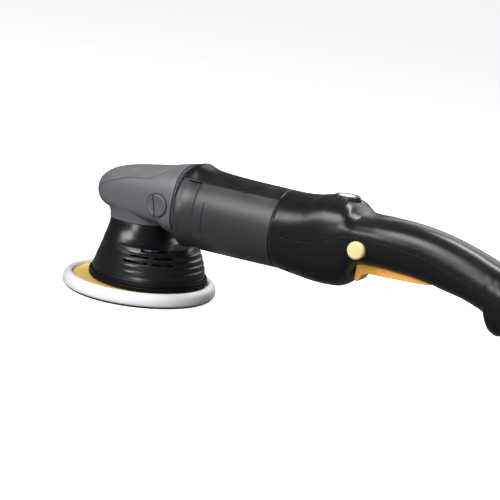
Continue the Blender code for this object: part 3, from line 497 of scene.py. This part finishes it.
# ---- Bell -------------------------------------------------------------------
# The black guard round the counterweight: satin nylon, flared from the neck, terraced round the
# rear half, with air slots in the terraces. Two screws hold it up under the head.
# z, front x, rear x, half width
BELL = [(13.5, -55.6, 55.6, 55.6), (20.0, -55.4, 55.4, 55.4), (27.0, -53.6, 53.6, 53.6),
        (34.0, -51.6, 51.6, 51.6), (41.0, -49.2, 48.4, 49.0), (44.5, -48.2, 46.6, 47.6),
        (46.0, -47.6, 43.0, 46.5), (48.0, -47.0, 34.0, 44.6), (51.5, -46.0, 25.0, 41.5),
        (57.0, -44.8, 20.4, 37.8), (63.0, -43.8, 19.6, 35.0), (69.5, -43.4, 20.0, 33.2)]
TERRACES = [23.8, 29.3, 34.75, 40.25, 45.65, 51.0]
BELL_WALL, NECK_HOLE, RING_GROOVE, VENT_RISE = 2.4, 16.9, 0.55, 2.4
# height and ends, in degrees from the rear, of each slot; both sides have them
VENTS = [(37.5, 33.0, 57.5), (37.5, 62.0, 90.0), (43.0, 33.0, 57.0), (43.0, 61.0, 83.0), (48.3, 36.0, 72.0)]


def terraced(z):
    """The height whose size the wall has at z: level over most of a terrace, then quickly inwards."""
    for low, high in zip(TERRACES, TERRACES[1:]):
        if low < z < high:
            t = (z - low) / (high - low)
            return low + (high - low) * (0.22 * t if t < 0.78 else 0.17 + 0.83 * ((t - 0.78) / 0.22) ** 0.8)
    return z


def bell_spot(row, angle):
    """Terraces fade in towards the rear, a ring groove runs above the lip, and the inside is plain."""
    z, inset, kind = row
    if kind == "hole":
        return (NECK_HOLE * math.cos(angle), NECK_HOLE * math.sin(angle), z)
    share = min(1.0, max(0.0, (math.cos(angle) + 0.05) / 0.45))
    share = share * share * (3 - 2 * share) * (1.0 if kind == "outer" else 0.0)
    plain, cut_back = eased(BELL, z), eased(BELL, terraced(z))
    front, rear, half = [a + (b - a) * share for a, b in zip(plain[1:], cut_back[1:])]
    groove = RING_GROOVE if kind == "outer" and 20.9 < z < 21.9 else 0.0
    less = inset + groove
    x, y, _ = oval(z, front + less, rear - less, half - less, 2.0, angle)
    return (x, y, z)


bell_rows = [(z, 0.0, "outer") for z in stations(13.5, 20.8, 1.0) + [20.95, 21.1, 21.7, 21.85, 22.0]
             + stations(22.6, 52.0, 0.42) + stations(53.0, 68.4, 1.1)]
bell_rows += [(69.2, 0.1, "outer"), (69.5, 0.6, "outer"), (69.5, 0, "hole"), (66.8, 0, "hole")]
bell_rows += [(z, BELL_WALL, "inner") for z in stations(66.8, 13.5, 1.6)]
bell = solid("bell", lofted(bell_rows, 144, bell_spot, loop=True))
for z, start, stop in VENTS:
    for side in (-1, 1):
        ring = [side * math.radians(a) for a in stations(start, stop, 4.0)]
        outline = ([(70 * math.cos(a), 70 * math.sin(a)) for a in ring]
                   + [(30 * math.cos(a), 30 * math.sin(a)) for a in reversed(ring)])
        carve(bell, slab("air_slot", outline, z - VENT_RISE / 2, z + VENT_RISE / 2, "Z"))
for x, y in BELL_SCREWS:
    carve(bell, drill(2.3, 60, 75, 24, (x, y, 0)))
dress(bell, moulded("bell_nylon", (0.006, 0.006, 0.008), 0.30, 1500.0, 0.05, rub=0.05, dust=0.0),
      "housing", "bell_black", "vent_bell")

# ---- Bell lip ---------------------------------------------------------------
# A soft rubber bumper pushed over the bell's lower edge, so that a slip doesn't mark the paint.
LIP = [(52.0, 11.8), (57.0, 11.8), (57.8, 13.2), (57.9, 15.0), (57.3, 15.4), (57.3, 16.0), (57.9, 16.4),
       (57.6, 19.0), (56.0, 19.4), (55.9, 13.2), (52.0, 13.2)]
lip = turned("bell_bumper", LIP, 128)
soften(lip, 0.25)
dress(lip, moulded("lip_rubber", (0.003, 0.003, 0.005), 0.5, 700.0, 0.10, rub=0.05, dust=0.02,
                   Specular_IOR_Level=0.12),
      "housing", "lip_rubber", "bell_lip")

# ---- Backing plate ----------------------------------------------------------
# Glass-filled nylon disc in orange-yellow with a raised hub on the arbor. It turns freely about the
# arbor, which stands half an orbit off the spindle axis.
ORBIT, ORBIT_TURN = 15.0, math.radians(208.0)
PAD = (ORBIT / 2 * math.cos(ORBIT_TURN), ORBIT / 2 * math.sin(ORBIT_TURN), 0.0)
PLATE = [(3.3, 14.5), (5.4, 14.5), (5.4, 8.3), (66.0, 8.3), (66.0, 10.0), (65.2, 10.6), (50.0, 10.7),
         (48.0, 10.3), (46.0, 10.7), (22.0, 11.0), (16.0, 20.4), (3.3, 20.4)]
plate = turned("orange_plate", PLATE, 144, PAD)
dress(plate, moulded("plate_nylon", (1.0, 0.68, 0.17), 0.34, 1000.0, 0.08, drift=0.06, dust=0.0),
      "pad", "plate_orange", "backing_plate")

# ---- Foam rim ---------------------------------------------------------------
# The interface layer under the plate is moulded closed-cell foam with a glossy white skin. Its
# edge rolls up over the plate.
FOAM = [(66.3, 8.0), (5.7, 8.0), (5.7, 1.9), (40.0, 1.9), (73.2, 1.9), (74.2, 2.3), (74.8, 3.2),
        (75.0, 4.4), (75.0, 5.6), (74.9, 7.0), (74.6, 8.6), (74.0, 10.2), (73.0, 11.6), (71.8, 12.7),
        (70.4, 13.4), (69.0, 13.8), (67.8, 13.8), (66.9, 13.5), (66.3, 12.8), (66.3, 10.0)]
foam = turned("foam_layer", FOAM, 144, PAD, angle=60.0)
made, tree = blank("foam_skin")
place = node(tree, "TexCoord").outputs["Object"]
cells = node(tree, "TexVoronoi", {"feature": "DISTANCE_TO_EDGE"}, Vector=place, Scale=700.0)
swell = node(tree, "TexNoise", Vector=place, Scale=60.0, Detail=3.0)
tone = blend_colour(tree, swell.outputs["Fac"], (0.80, 0.80, 0.81), (0.87, 0.87, 0.87))
gloss = node(tree, "MapRange", Value=swell.outputs["Fac"], To_Min=0.28, To_Max=0.42)
height = node(tree, "Math", {"operation": "MULTIPLY_ADD"}, i0=cells.outputs["Distance"], i1=0.3,
              i2=swell.outputs["Fac"])
bump = node(tree, "Bump", Strength=0.10, Distance=0.001, Height=height.outputs[0])
surface = node(tree, "BsdfPrincipled", Base_Color=tone, Roughness=gloss.outputs["Result"],
               Normal=bump.outputs["Normal"])
surface.inputs["Subsurface Weight"].default_value = 0.15
surface.inputs["Subsurface Scale"].default_value = 0.003
surface.inputs["Coat Weight"].default_value = 0.2
node(tree, "OutputMaterial", Surface=surface.outputs["BSDF"])
dress(foam, made, "pad", "foam_white", "foam_rim")

# ---- Hook face --------------------------------------------------------------
# The working face is hook tape: dense black nylon hooks on a woven backing, glued under the foam.
tape = turned("hook_tape", [(5.7, 0.0), (71.8, 0.0), (72.6, 0.5), (72.6, 1.6), (5.7, 1.6)], 144, PAD)
made, tree = blank("hook_pile")
place = node(tree, "TexCoord").outputs["Object"]
hooks = node(tree, "TexVoronoi", Vector=place, Scale=850.0, Randomness=0.55)
stems = node(tree, "ValToRGB", Fac=hooks.outputs["Distance"])
stems.color_ramp.elements[0].color = (0.085, 0.085, 0.09, 1.0)
stems.color_ramp.elements[1].color = (0.010, 0.010, 0.012, 1.0)
stems.color_ramp.elements[1].position = 0.6
bump = node(tree, "Bump", {"invert": True}, Strength=0.8, Distance=0.0008, Height=hooks.outputs["Distance"])
surface = node(tree, "BsdfPrincipled", Base_Color=stems.outputs["Color"], Roughness=0.8,
               Normal=bump.outputs["Normal"])
surface.inputs["Sheen Weight"].default_value = 0.3
node(tree, "OutputMaterial", Surface=surface.outputs["BSDF"])
dress(tape, made, "pad", "hook_pile", "hook_face")

# ---- Motor housing ----------------------------------------------------------
# The barrel is one glass-filled nylon moulding round the field, waisted behind the head. It is
# stepped down on top for the grip strip and open inside for the motor. A thin spigot at its rear
# end enters the handle shells.
# x, radius
FLANK = [(38.3, 35.2), (39.4, 35.3), (39.5, 37.2), (40.1, 37.9), (42.0, 38.0), (44.0, 37.4), (47.0, 36.5),
         (53.0, 36.0), (58.6, 36.1), (59.8, 37.1), (61.0, 37.4), (64.0, 37.4), (139.6, 37.0), (140.1, 36.7),
         (140.2, 35.4), (141.0, 35.3), (141.05, 33.5), (144.5, 33.5)]
FIELD_BORE, NOSE_BORE, SEAT_RADIUS = 33.0, 23.5, 34.8


def about_motor(row, angle):
    x, radius = row
    return (x, radius * math.cos(angle), MOTOR_Z + radius * math.sin(angle))


def sector(radius_low, radius_high, start, stop):
    """(y, z) outline between two radii about the motor axis, in degrees from +Y."""
    angles = [math.radians(a) for a in stations(start, stop, 3.0)]
    return ([(radius_high * math.cos(a), MOTOR_Z + radius_high * math.sin(a)) for a in angles]
            + [(radius_low * math.cos(a), MOTOR_Z + radius_low * math.sin(a)) for a in reversed(angles)])


barrel_x = [38.3, 39.4, 39.5, 39.7, 40.1] + stations(40.7, 66.0, 0.6) + stations(69.0, 138.0, 4.0) + [
    139.2, 139.6, 139.9, 140.1, 140.2, 141.0, 141.05, 144.5]
barrel = solid("barrel", lofted([eased(FLANK, x) for x in barrel_x], 144, about_motor))
for y, z in HEAD_SCREWS:
    carve(barrel, drill(2.7, 31, 42.5, 18, (0, y, MOTOR_Z + z), "X"))
bore = [(0, 30.0), (NOSE_BORE, 30.0), (NOSE_BORE, 42.4), (FIELD_BORE, 42.4), (FIELD_BORE, 150.0), (0, 150.0)]
carve(barrel, slab("strip_seat", sector(SEAT_RADIUS, 60.0, 53.0, 127.0), 30.0, 145.0, "X"),
      turned("stepped_bore", bore, 96, (0, 0, MOTOR_Z), "X"))
for middle in (0.0, 180.0):
    carve(barrel, slab("panel_line", sector(36.6, 42.0, middle - 24, middle + 24), 70.0, 70.7, "X"))
dress(barrel, moulded("barrel_nylon", (0.030, 0.030, 0.034), 0.42, 1100.0, 0.10, rub=0.35),
      "housing", "barrel_grey", "motor_housing")

# ---- Top grip strip ---------------------------------------------------------
# A black soft strip lies along the top of the barrel and swells into a crest behind the head, for
# the leading hand.
# x, radius
STRIP = [(38.3, 38.6), (38.8, 39.8), (41.0, 42.0), (44.0, 43.3), (48.0, 44.2), (53.0, 42.6), (62.0, 40.2),
         (80.0, 38.7), (110.0, 37.6), (140.0, 37.1), (141.0, 36.6)]
STRIP_SIDE, STRIP_SWEEP, STRIP_UNDER = 53.6, 72.8, 35.1


def strip_spot(row, angle):
    """The first half turn runs over the top of the strip, and the second comes back underneath."""
    x, radius = row
    t = angle / math.pi
    reach, side = (radius, t) if t < 1 else (STRIP_UNDER, 2 - t)
    turn = math.radians(STRIP_SIDE + STRIP_SWEEP * min(1.0, max(0.0, side * 1.03 - 0.015)))
    inward = min(1.0, min(side, 1 - side) / 0.34)
    if t < 1:
        foot = min(radius, 37.5)
        reach = foot + (radius - foot) * inward * inward * (3 - 2 * inward)
        edge = max(0.0, 1 - min(side, 1 - side) / 0.05)
        reach -= 0.9 * edge * edge
    return (x, reach * math.cos(turn), MOTOR_Z + reach * math.sin(turn))


strip_x = stations(38.3, 41.0, 0.4) + stations(42.0, 66.0, 1.0) + stations(70.0, 138.0, 4.0) + [
    139.5, 140.3, 141.0]
strip = solid("grip_strip", lofted([eased(STRIP, x) for x in strip_x], 96, strip_spot))
dress(strip, moulded("strip_rubber", (0.004, 0.004, 0.005), 0.34, 1300.0, 0.08, rub=0.2, dust=0.03,
                     Specular_IOR_Level=0.32),
      "housing", "grip_black", "top_grip_strip")

# ---- Handle shells ----------------------------------------------------------
# Two nylon half shells make the rear housing and the handle, screwed together from below. They
# meet on a line that runs up over the trigger and down to the heel, with a tongue inside it.
# x, top, bottom, half width, squareness
REAR = [(141.4, 127.0, 54.0, 36.5, 2.0), (142.0, 127.5, 53.5, 37.0, 2.0), (152.0, 127.4, 52.4, 37.1, 2.1),
        (168.0, 128.6, 51.2, 37.0, 2.3), (180.0, 131.2, 50.4, 36.4, 2.5), (190.0, 132.2, 50.2, 35.8, 2.6),
        (203.0, 131.8, 51.0, 34.2, 2.6), (210.0, 129.2, 53.8, 32.8, 2.6), (214.0, 126.0, 57.6, 31.8, 2.5),
        (216.4, 124.2, 66.0, 31.1, 2.5), (220.0, 122.4, 74.5, 30.0, 2.5), (228.0, 122.0, 75.5, 27.8, 2.5),
        (240.0, 122.6, 75.4, 25.0, 2.4), (256.0, 122.6, 74.4, 23.2, 2.3), (273.0, 121.6, 73.2, 22.2, 2.3),
        (290.0, 119.4, 71.2, 22.0, 2.3), (306.0, 116.2, 68.4, 22.0, 2.3), (320.0, 112.4, 65.8, 22.2, 2.3),
        (334.0, 108.0, 61.6, 22.5, 2.3), (343.0, 104.8, 57.6, 22.7, 2.3), (346.0, 103.7, 48.6, 22.9, 2.3),
        (350.0, 102.3, 42.4, 23.0, 2.3), (357.0, 99.6, 40.0, 23.0, 2.4), (361.0, 97.8, 40.8, 22.3, 2.4),
        (363.5, 96.2, 42.4, 21.2, 2.4), (365.2, 94.2, 44.8, 19.6, 2.4), (366.0, 91.8, 48.0, 17.4, 2.4)]
# x, z where the shells meet
JOINT = [(130.0, 91.0), (143.0, 91.0), (168.0, 90.0), (180.0, 91.5), (200.0, 98.0), (215.0, 103.5),
         (240.0, 102.5), (279.0, 98.5), (310.0, 90.0), (343.0, 78.0), (380.0, 64.0)]
DIAL_X, INLET_Z = 197.0, 66.0
BUTTON_X, BUTTON_Z = 224.0, 92.0
SHELL_SCREWS = [(158.0, 22.0), (158.0, -22.0), (312.0, 0.0)]
SHELL_WALL, SPLIT_GAP = 2.8, 0.38
TONGUE_DEPTH, TONGUE_RISE, GROOVE_DEPTH, GROOVE_RISE = 1.4, 1.5, 1.1, 1.8


def rear_form(name, xs, shrink, turns):
    """The outer form of the handle, or the same form a little smaller, widest where the shells meet."""
    def spot(row, angle):
        x, top, bottom, half, power = row
        widest = eased(JOINT, x)[1]
        c, s = power_point(angle, power)
        reach = (top - widest if s > 0 else widest - bottom) - shrink
        return (x, (half - shrink) * c, widest + reach * s)

    return solid(name, lofted([eased(REAR, x) for x in xs], turns, spot))


def joint_half(name, above, gap):
    """All that lies above or below the line where the shells meet, less a gap."""
    line = [(x, eased(JOINT, x)[1] + (gap if above else -gap)) for x in stations(130.0, 380.0, 5.0)]
    end = 170.0 if above else 20.0
    return slab(name, line + [(380.0, end), (130.0, end)], -60.0, 60.0)


rear_x = [141.4, 141.6, 142.0] + stations(144.0, 204.0, 2.5) + stations(205.0, 222.0, 0.8) + stations(
    224.0, 342.0, 2.6) + stations(342.8, 352.0, 0.8) + stations(353.0, 361.0, 1.4) + [
    362.0, 363.0, 363.8, 364.6, 365.2, 365.7, 366.0]
whole = rear_form("whole", rear_x, 0.0, 112)
hollow = rear_form("hollow", stations(142.0, 363.0, 3.0), SHELL_WALL, 64)
for v in hollow.data.vertices:
    # The first ring is drawn forward, so that the shells are open towards the barrel.
    if v.co.x < 142.1 * MM:
        v.co.x = 141.0 * MM
carve(whole, hollow)
upper = copy_of(whole, "upper_shell")
lower = copy_of(whole, "lower_shell")
bpy.data.objects.remove(whole)
lower_keep = joint_half("lower_keep", False, SPLIT_GAP)
tongue = rear_form("tongue", stations(143.0, 362.0, 3.0), TONGUE_DEPTH, 64)
groove = rear_form("groove", stations(143.0, 362.0, 3.0), GROOVE_DEPTH, 64)
carve(tongue, joint_half("tongue_top", False, -TONGUE_RISE), operation="INTERSECT")
carve(groove, joint_half("groove_top", False, -GROOVE_RISE), operation="INTERSECT")
carve(lower_keep, tongue, operation="UNION")
carve(lower, lower_keep, operation="INTERSECT")
carve(upper, joint_half("upper_keep", True, SPLIT_GAP), operation="INTERSECT")
carve(upper, groove)
for shell in (upper, lower):
    carve(shell, drill(8.2, 350, 380, 48, (0, 0, INLET_Z), "X"))
carve(upper, drill(12.9, 120, 150, 72, (DIAL_X, 0, 0)))
trigger_way = [(216.7, 50.0), (296.4, 50.0), (296.4, 86.0), (216.7, 86.0)]
carve(lower, slab("trigger_opening", trigger_way, -10.6, 10.6),
      drill(8.7, -60, -10, 64, (BUTTON_X, 0, BUTTON_Z), "Y"))
for x, y in SHELL_SCREWS:
    carve(lower, drill(2.0, 30, 85, 24, (x, y, 0)))
shell_finish = moulded("shell_nylon", (0.007, 0.007, 0.009), 0.28, 1200.0, 0.06, rub=0.2, dust=0.02,
                       Specular_IOR_Level=0.35)
dress(upper, shell_finish, "housing", "shell_black", "handle_shell_upper")
dress(lower, shell_finish, "housing", "shell_black", "handle_shell_lower")

# ---- Trigger ----------------------------------------------------------------
# A long paddle in orange acetal, hooked at its nose and hinged at the rear, under the handle.
TRIGGER = [(218.4, 61.5), (219.8, 59.6), (222.6, 60.4), (225.8, 66.8), (231.0, 68.8), (258.0, 69.8),
           (276.0, 70.4), (288.0, 71.3), (293.6, 73.0), (294.8, 76.0), (290.0, 81.4), (276.0, 82.6),
           (262.0, 84.0), (224.0, 85.0), (219.4, 82.0)]
TRIGGER_HALF = 9.8
trigger = slab("paddle", TRIGGER, -TRIGGER_HALF, TRIGGER_HALF)
soften(trigger, 1.5, 4, 20.0)
dress(trigger, moulded("trigger_acetal", (1.0, 0.47, 0.09), 0.32, 1000.0, 0.06, drift=0.07, dust=0.0),
      "trigger", "trigger_orange", "trigger")

# ---- Lock button ------------------------------------------------------------
# A small pale yellow cap on the left of the handle that holds the trigger in, on a stem that runs
# in to the switch.
CAP = [(0, -31.0), (5.6, -31.0), (6.8, -30.7), (7.8, -30.0), (8.2, -29.2), (8.2, -21.5), (3.5, -21.5),
       (3.5, -13.5), (0, -13.5)]
button = turned("lock_cap", CAP, 72, (BUTTON_X, 0, BUTTON_Z), "Y")
soften(button, 0.25)
dress(button, moulded("button_acetal", (0.95, 0.74, 0.36), 0.34, 900.0, 0.05, drift=0.05, dust=0.0),
      "lock_button", "button_yellow", "lock_button")

# ---- Speed dial -------------------------------------------------------------
# A flat knurled wheel let into the top of the rear housing. The pale disc in the middle of its top face is a
# painted highlight: a lamp's reflection put into the colour.
# z, share of the full radius, whether the ridges show
DIAL = [(123.0, 0.92, False), (123.0, 0.98, False), (124.0, 1.0, True), (128.0, 1.0, True),
        (132.9, 1.0, True), (133.5, 0.98, True), (133.9, 0.94, False), (134.0, 0.88, False),
        (133.9, 0.70, False), (133.6, 0.64, False), (133.6, 0.30, False)]
DIAL_RADIUS, RIDGE, RIDGES, HIGHLIGHT_DISC_RADIUS = 11.85, 0.35, 12, 7.6


def dial_spot(row, angle):
    z, share, ridged = row
    radius = (DIAL_RADIUS + (RIDGE * math.cos(RIDGES * angle) if ridged else 0.0)) * share
    return (DIAL_X + radius * math.cos(angle), radius * math.sin(angle), z)


dial = solid("dial_wheel", lofted(DIAL, 192, dial_spot))
dress(dial, moulded("dial_nylon", (0.020, 0.020, 0.022), 0.42, 1000.0, 0.08), "speed_dial", "dial_black",
      "speed_dial")
# Painted highlight: top faces inside the disc radius get a pale second material that stands in for a lamp's
# reflection.
dial.data.materials.append(moulded("dial_painted_highlight", (0.72, 0.72, 0.73), 0.35, 900.0, 0.04, drift=0.03))
for face in dial.data.polygons:
    from_middle = Vector((face.center.x - DIAL_X * MM, face.center.y)).length
    if face.center.z > 133.4 * MM and from_middle < HIGHLIGHT_DISC_RADIUS * MM:
        face.material_index = 1

# ---- Cable inlet ------------------------------------------------------------
# The rubber gland in the heel is empty: a grooved collar holds it in the wall, and the bore takes
# the supply cord.
GLAND = [(4.2, 357.6), (10.0, 357.6), (10.0, 359.8), (7.9, 359.8), (7.9, 366.4), (9.8, 366.4), (9.7, 367.6),
         (8.9, 368.0), (8.9, 368.8), (9.5, 369.2), (9.4, 370.2), (8.7, 370.6), (8.7, 371.4), (9.1, 371.8),
         (9.0, 373.0), (4.2, 373.0)]
gland = turned("cable_gland", GLAND, 72, (0, 0, INLET_Z), "X")
soften(gland, 0.2)
dress(gland, moulded("gland_rubber", (0.014, 0.014, 0.015), 0.55, 800.0, 0.12), "housing", "lip_rubber",
      "cable_inlet")

# ---- Shafts and bearings ----------------------------------------------------
# Ground steel turned on the lathe: the spindle with its eccentric pocket, the arbor, the armature
# shaft, the nuts and the shielded ball bearings.
turning_marks, given, gives = shader_group(
    "turning_marks", [("Vector", "Vector", None), ("Depth", "Float", 0.5)],
    [("Height", "Float"), ("Tone", "Float")])
lines = node(turning_marks, "TexNoise", Vector=given["Vector"], Scale=1.0, Detail=4.0)
ridge = node(turning_marks, "Math", {"operation": "MULTIPLY"}, i0=lines.outputs["Fac"], i1=given["Depth"])
stain = node(turning_marks, "TexNoise", Vector=given["Vector"], Scale=0.08, Detail=3.0)
turning_marks.links.new(ridge.outputs[0], gives["Height"])
turning_marks.links.new(stain.outputs["Fac"], gives["Tone"])


def machined(name, colour, rough, along="Z", depth=0.5, drift=0.15, edge=0.3):
    """Bare metal with marks that run round the axis it was turned on, and bright edges."""
    made, tree = blank(name)
    place = node(tree, "TexCoord").outputs["Object"]
    stretch = [1800.0 if axis == along else 90.0 for axis in "XYZ"]
    run = node(tree, "Mapping", Vector=place, Scale=stretch)
    marks = use(tree, turning_marks, Vector=run.outputs["Vector"], Depth=depth)
    edges = use(tree, rubbed_edge, Vector=place, Radius=edge * MM)
    tone = blend_colour(tree, marks.outputs["Tone"], [c * (1 - drift) for c in colour],
                        [min(1.0, c * (1 + drift)) for c in colour])
    tone = blend_colour(tree, edges.outputs["Mask"], tone, [min(1.0, c * 1.3 + 0.05) for c in colour])
    polish = node(tree, "MapRange", Value=marks.outputs["Tone"], To_Min=rough - 0.08, To_Max=rough + 0.08)
    bump = node(tree, "Bump", Strength=0.12, Distance=0.0003, Height=marks.outputs["Height"],
                Normal=edges.outputs["Normal"])
    surface = node(tree, "BsdfPrincipled", Base_Color=tone, Metallic=1.0, Roughness=polish.outputs["Result"],
                   Normal=bump.outputs["Normal"])
    node(tree, "OutputMaterial", Surface=surface.outputs["BSDF"])
    return made


def finish_nodes(finish, *names):
    """Gives the CAD solids that keep their own shape a better material."""
    for name in names:
        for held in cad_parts[name].material_slots:
            held.material = finish


finish_nodes(machined("ground_steel", (0.56, 0.57, 0.59), 0.26), "spindle", "pad_arbor", "spindle_nut")
finish_nodes(machined("shaft_steel", (0.58, 0.59, 0.61), 0.24, "X"), "armature_shaft")
finish_nodes(machined("bearing_steel", (0.64, 0.65, 0.67), 0.22), "pad_bearing", "spindle_bearing_lower",
             "spindle_bearing_upper")
finish_nodes(machined("motor_bearing_steel", (0.64, 0.65, 0.67), 0.22, "X"), "front_bearing", "rear_bearing")

# ---- Bevel gears ------------------------------------------------------------
# Case-hardened steel, dark with grease in the roots and bright on the worn tips of the teeth.
finish_nodes(machined("gear_steel", (0.34, 0.33, 0.32), 0.34, "Z", 0.4, 0.25, 0.5), "crown_gear")
finish_nodes(machined("pinion_steel", (0.36, 0.35, 0.34), 0.34, "X", 0.4, 0.25, 0.5), "pinion")

# ---- Counterweight and castings ---------------------------------------------
# The counterweight is a zinc-plated steel sector. The spindle housing and the bearing plate are
# bare alloy castings with turned seats.
finish_nodes(machined("plated_steel", (0.60, 0.59, 0.55), 0.32, "Z", 0.3, 0.2), "counterweight")
finish_nodes(machined("cast_alloy", (0.66, 0.66, 0.67), 0.42, "Z", 0.8, 0.12), "spindle_housing")
finish_nodes(machined("plate_alloy", (0.66, 0.66, 0.67), 0.40, "X", 0.8, 0.12), "front_bearing_plate")

# ---- Screws -----------------------------------------------------------------
# Blackened pan-head screws for the castings and zinc ones for the plastic.
finish_nodes(machined("black_screw", (0.10, 0.10, 0.11), 0.38, "X", 0.3), "head_screw_1", "head_screw_2",
             "head_screw_3", "head_screw_4")
finish_nodes(machined("zinc_screw", (0.62, 0.62, 0.60), 0.32, "Z", 0.3), "bell_screw_1", "bell_screw_2",
             "pad_screw", "shell_screw_1", "shell_screw_2", "shell_screw_3")

# ---- Laminated iron ---------------------------------------------------------
# The field and the armature core are stacks of half-millimetre silicon iron sheets, punched and
# riveted, so that their flanks show the sheets edge on.
def banded(name, low, high, rough, axis, pitch, depth, metallic):
    """Sheets or wires side by side: bands across an axis, a pitch in mm apart."""
    made, tree = blank(name)
    place = node(tree, "TexCoord").outputs["Object"]
    bands = node(tree, "TexWave", {"bands_direction": axis}, Vector=place,
                 Scale=2 * math.pi / (20 * pitch * MM), Distortion=0.6, Detail=1.0)
    spots = use(tree, skin_grain, Vector=place, Scale=700.0, Drift=60.0)
    mixed = node(tree, "Math", {"operation": "MULTIPLY"}, i0=bands.outputs["Fac"], i1=spots.outputs["Tone"])
    tone = blend_colour(tree, mixed.outputs[0], low, high)
    matt = node(tree, "MapRange", Value=spots.outputs["Tone"], To_Min=rough - 0.07, To_Max=rough + 0.07)
    bump = node(tree, "Bump", Strength=depth, Distance=0.0004, Height=bands.outputs["Fac"])
    surface = node(tree, "BsdfPrincipled", Base_Color=tone, Roughness=matt.outputs["Result"],
                   Metallic=metallic, Normal=bump.outputs["Normal"])
    node(tree, "OutputMaterial", Surface=surface.outputs["BSDF"])
    return made


finish_nodes(banded("silicon_iron", (0.12, 0.12, 0.13), (0.42, 0.42, 0.43), 0.45, "X", 0.5, 0.5, 0.9),
             "stator_core", "armature_core")

# ---- Windings ---------------------------------------------------------------
# Enamelled copper wire under a dip of amber lacquer. The field wires lie along the barrel, and the
# armature's end turns cross over.
finish_nodes(banded("field_wire", (0.20, 0.07, 0.03), (0.80, 0.36, 0.14), 0.30, "Y", 0.8, 0.6, 0.8),
             "field_coil_left", "field_coil_right")
finish_nodes(banded("end_turns", (0.18, 0.06, 0.03), (0.74, 0.31, 0.12), 0.32, "DIAGONAL", 0.8, 0.7, 0.8),
             "armature_winding_front", "armature_winding_rear")

# ---- Commutator and brushes -------------------------------------------------
# Bars of hard-drawn copper, polished brown by two carbon blocks. The blocks slide in brass boxes
# on a moulded carrier.
finish_nodes(machined("bar_copper", (0.72, 0.36, 0.18), 0.24, "X", 0.6, 0.22), "commutator")
finish_nodes(moulded("brush_carbon", (0.035, 0.035, 0.038), 0.58, 600.0, 0.3, drift=0.3, Metallic=0.2),
             "carbon_brush_left", "carbon_brush_right")
finish_nodes(machined("box_brass", (0.75, 0.56, 0.25), 0.30, "X", 0.4), "brush_holder_left",
             "brush_holder_right")
finish_nodes(moulded("carrier_phenolic", (0.050, 0.035, 0.028), 0.50, 500.0, 0.2, drift=0.3, dust=0.2),
             "brush_carrier")

# ---- Fan, baffle and switch -------------------------------------------------
# Black glass-filled nylon mouldings, dull, with some carbon dust on them.
finish_nodes(moulded("inner_nylon", (0.030, 0.030, 0.031), 0.52, 900.0, 0.2, dust=0.25), "cooling_fan",
             "fan_baffle", "cord_clamp")
finish_nodes(moulded("switch_nylon", (0.040, 0.040, 0.043), 0.45, 1100.0, 0.12), "switch_module")

# ---- Speed board ------------------------------------------------------------
# Green solder mask over printed tracks, with flux marks between the joints.
made, tree = blank("solder_mask")
place = node(tree, "TexCoord").outputs["Object"]
tracks = node(tree, "TexBrick", {"offset": 0.37}, Vector=place, Scale=260.0, Color1=(0.02, 0.16, 0.06, 1.0),
              Color2=(0.03, 0.22, 0.08, 1.0), Mortar=(0.06, 0.34, 0.13, 1.0))
flux = use(tree, skin_grain, Vector=place, Scale=500.0, Drift=90.0)
tone = blend_colour(tree, flux.outputs["Tone"], tracks.outputs["Color"], (0.02, 0.11, 0.05))
bump = node(tree, "Bump", Strength=0.3, Distance=0.0002, Height=tracks.outputs["Fac"])
surface = node(tree, "BsdfPrincipled", Base_Color=tone, Roughness=0.38, Normal=bump.outputs["Normal"])
node(tree, "OutputMaterial", Surface=surface.outputs["BSDF"])
finish_nodes(made, "control_board")

# ---- Leads ------------------------------------------------------------------
# PVC-covered wires, brown for the supply and red for the brush.
finish_nodes(moulded("lead_pvc_brown", (0.16, 0.06, 0.025), 0.34, 1500.0, 0.05, dust=0.15), "lead_supply")
finish_nodes(moulded("lead_pvc_red", (0.50, 0.03, 0.02), 0.34, 1500.0, 0.05, dust=0.15), "lead_brush")
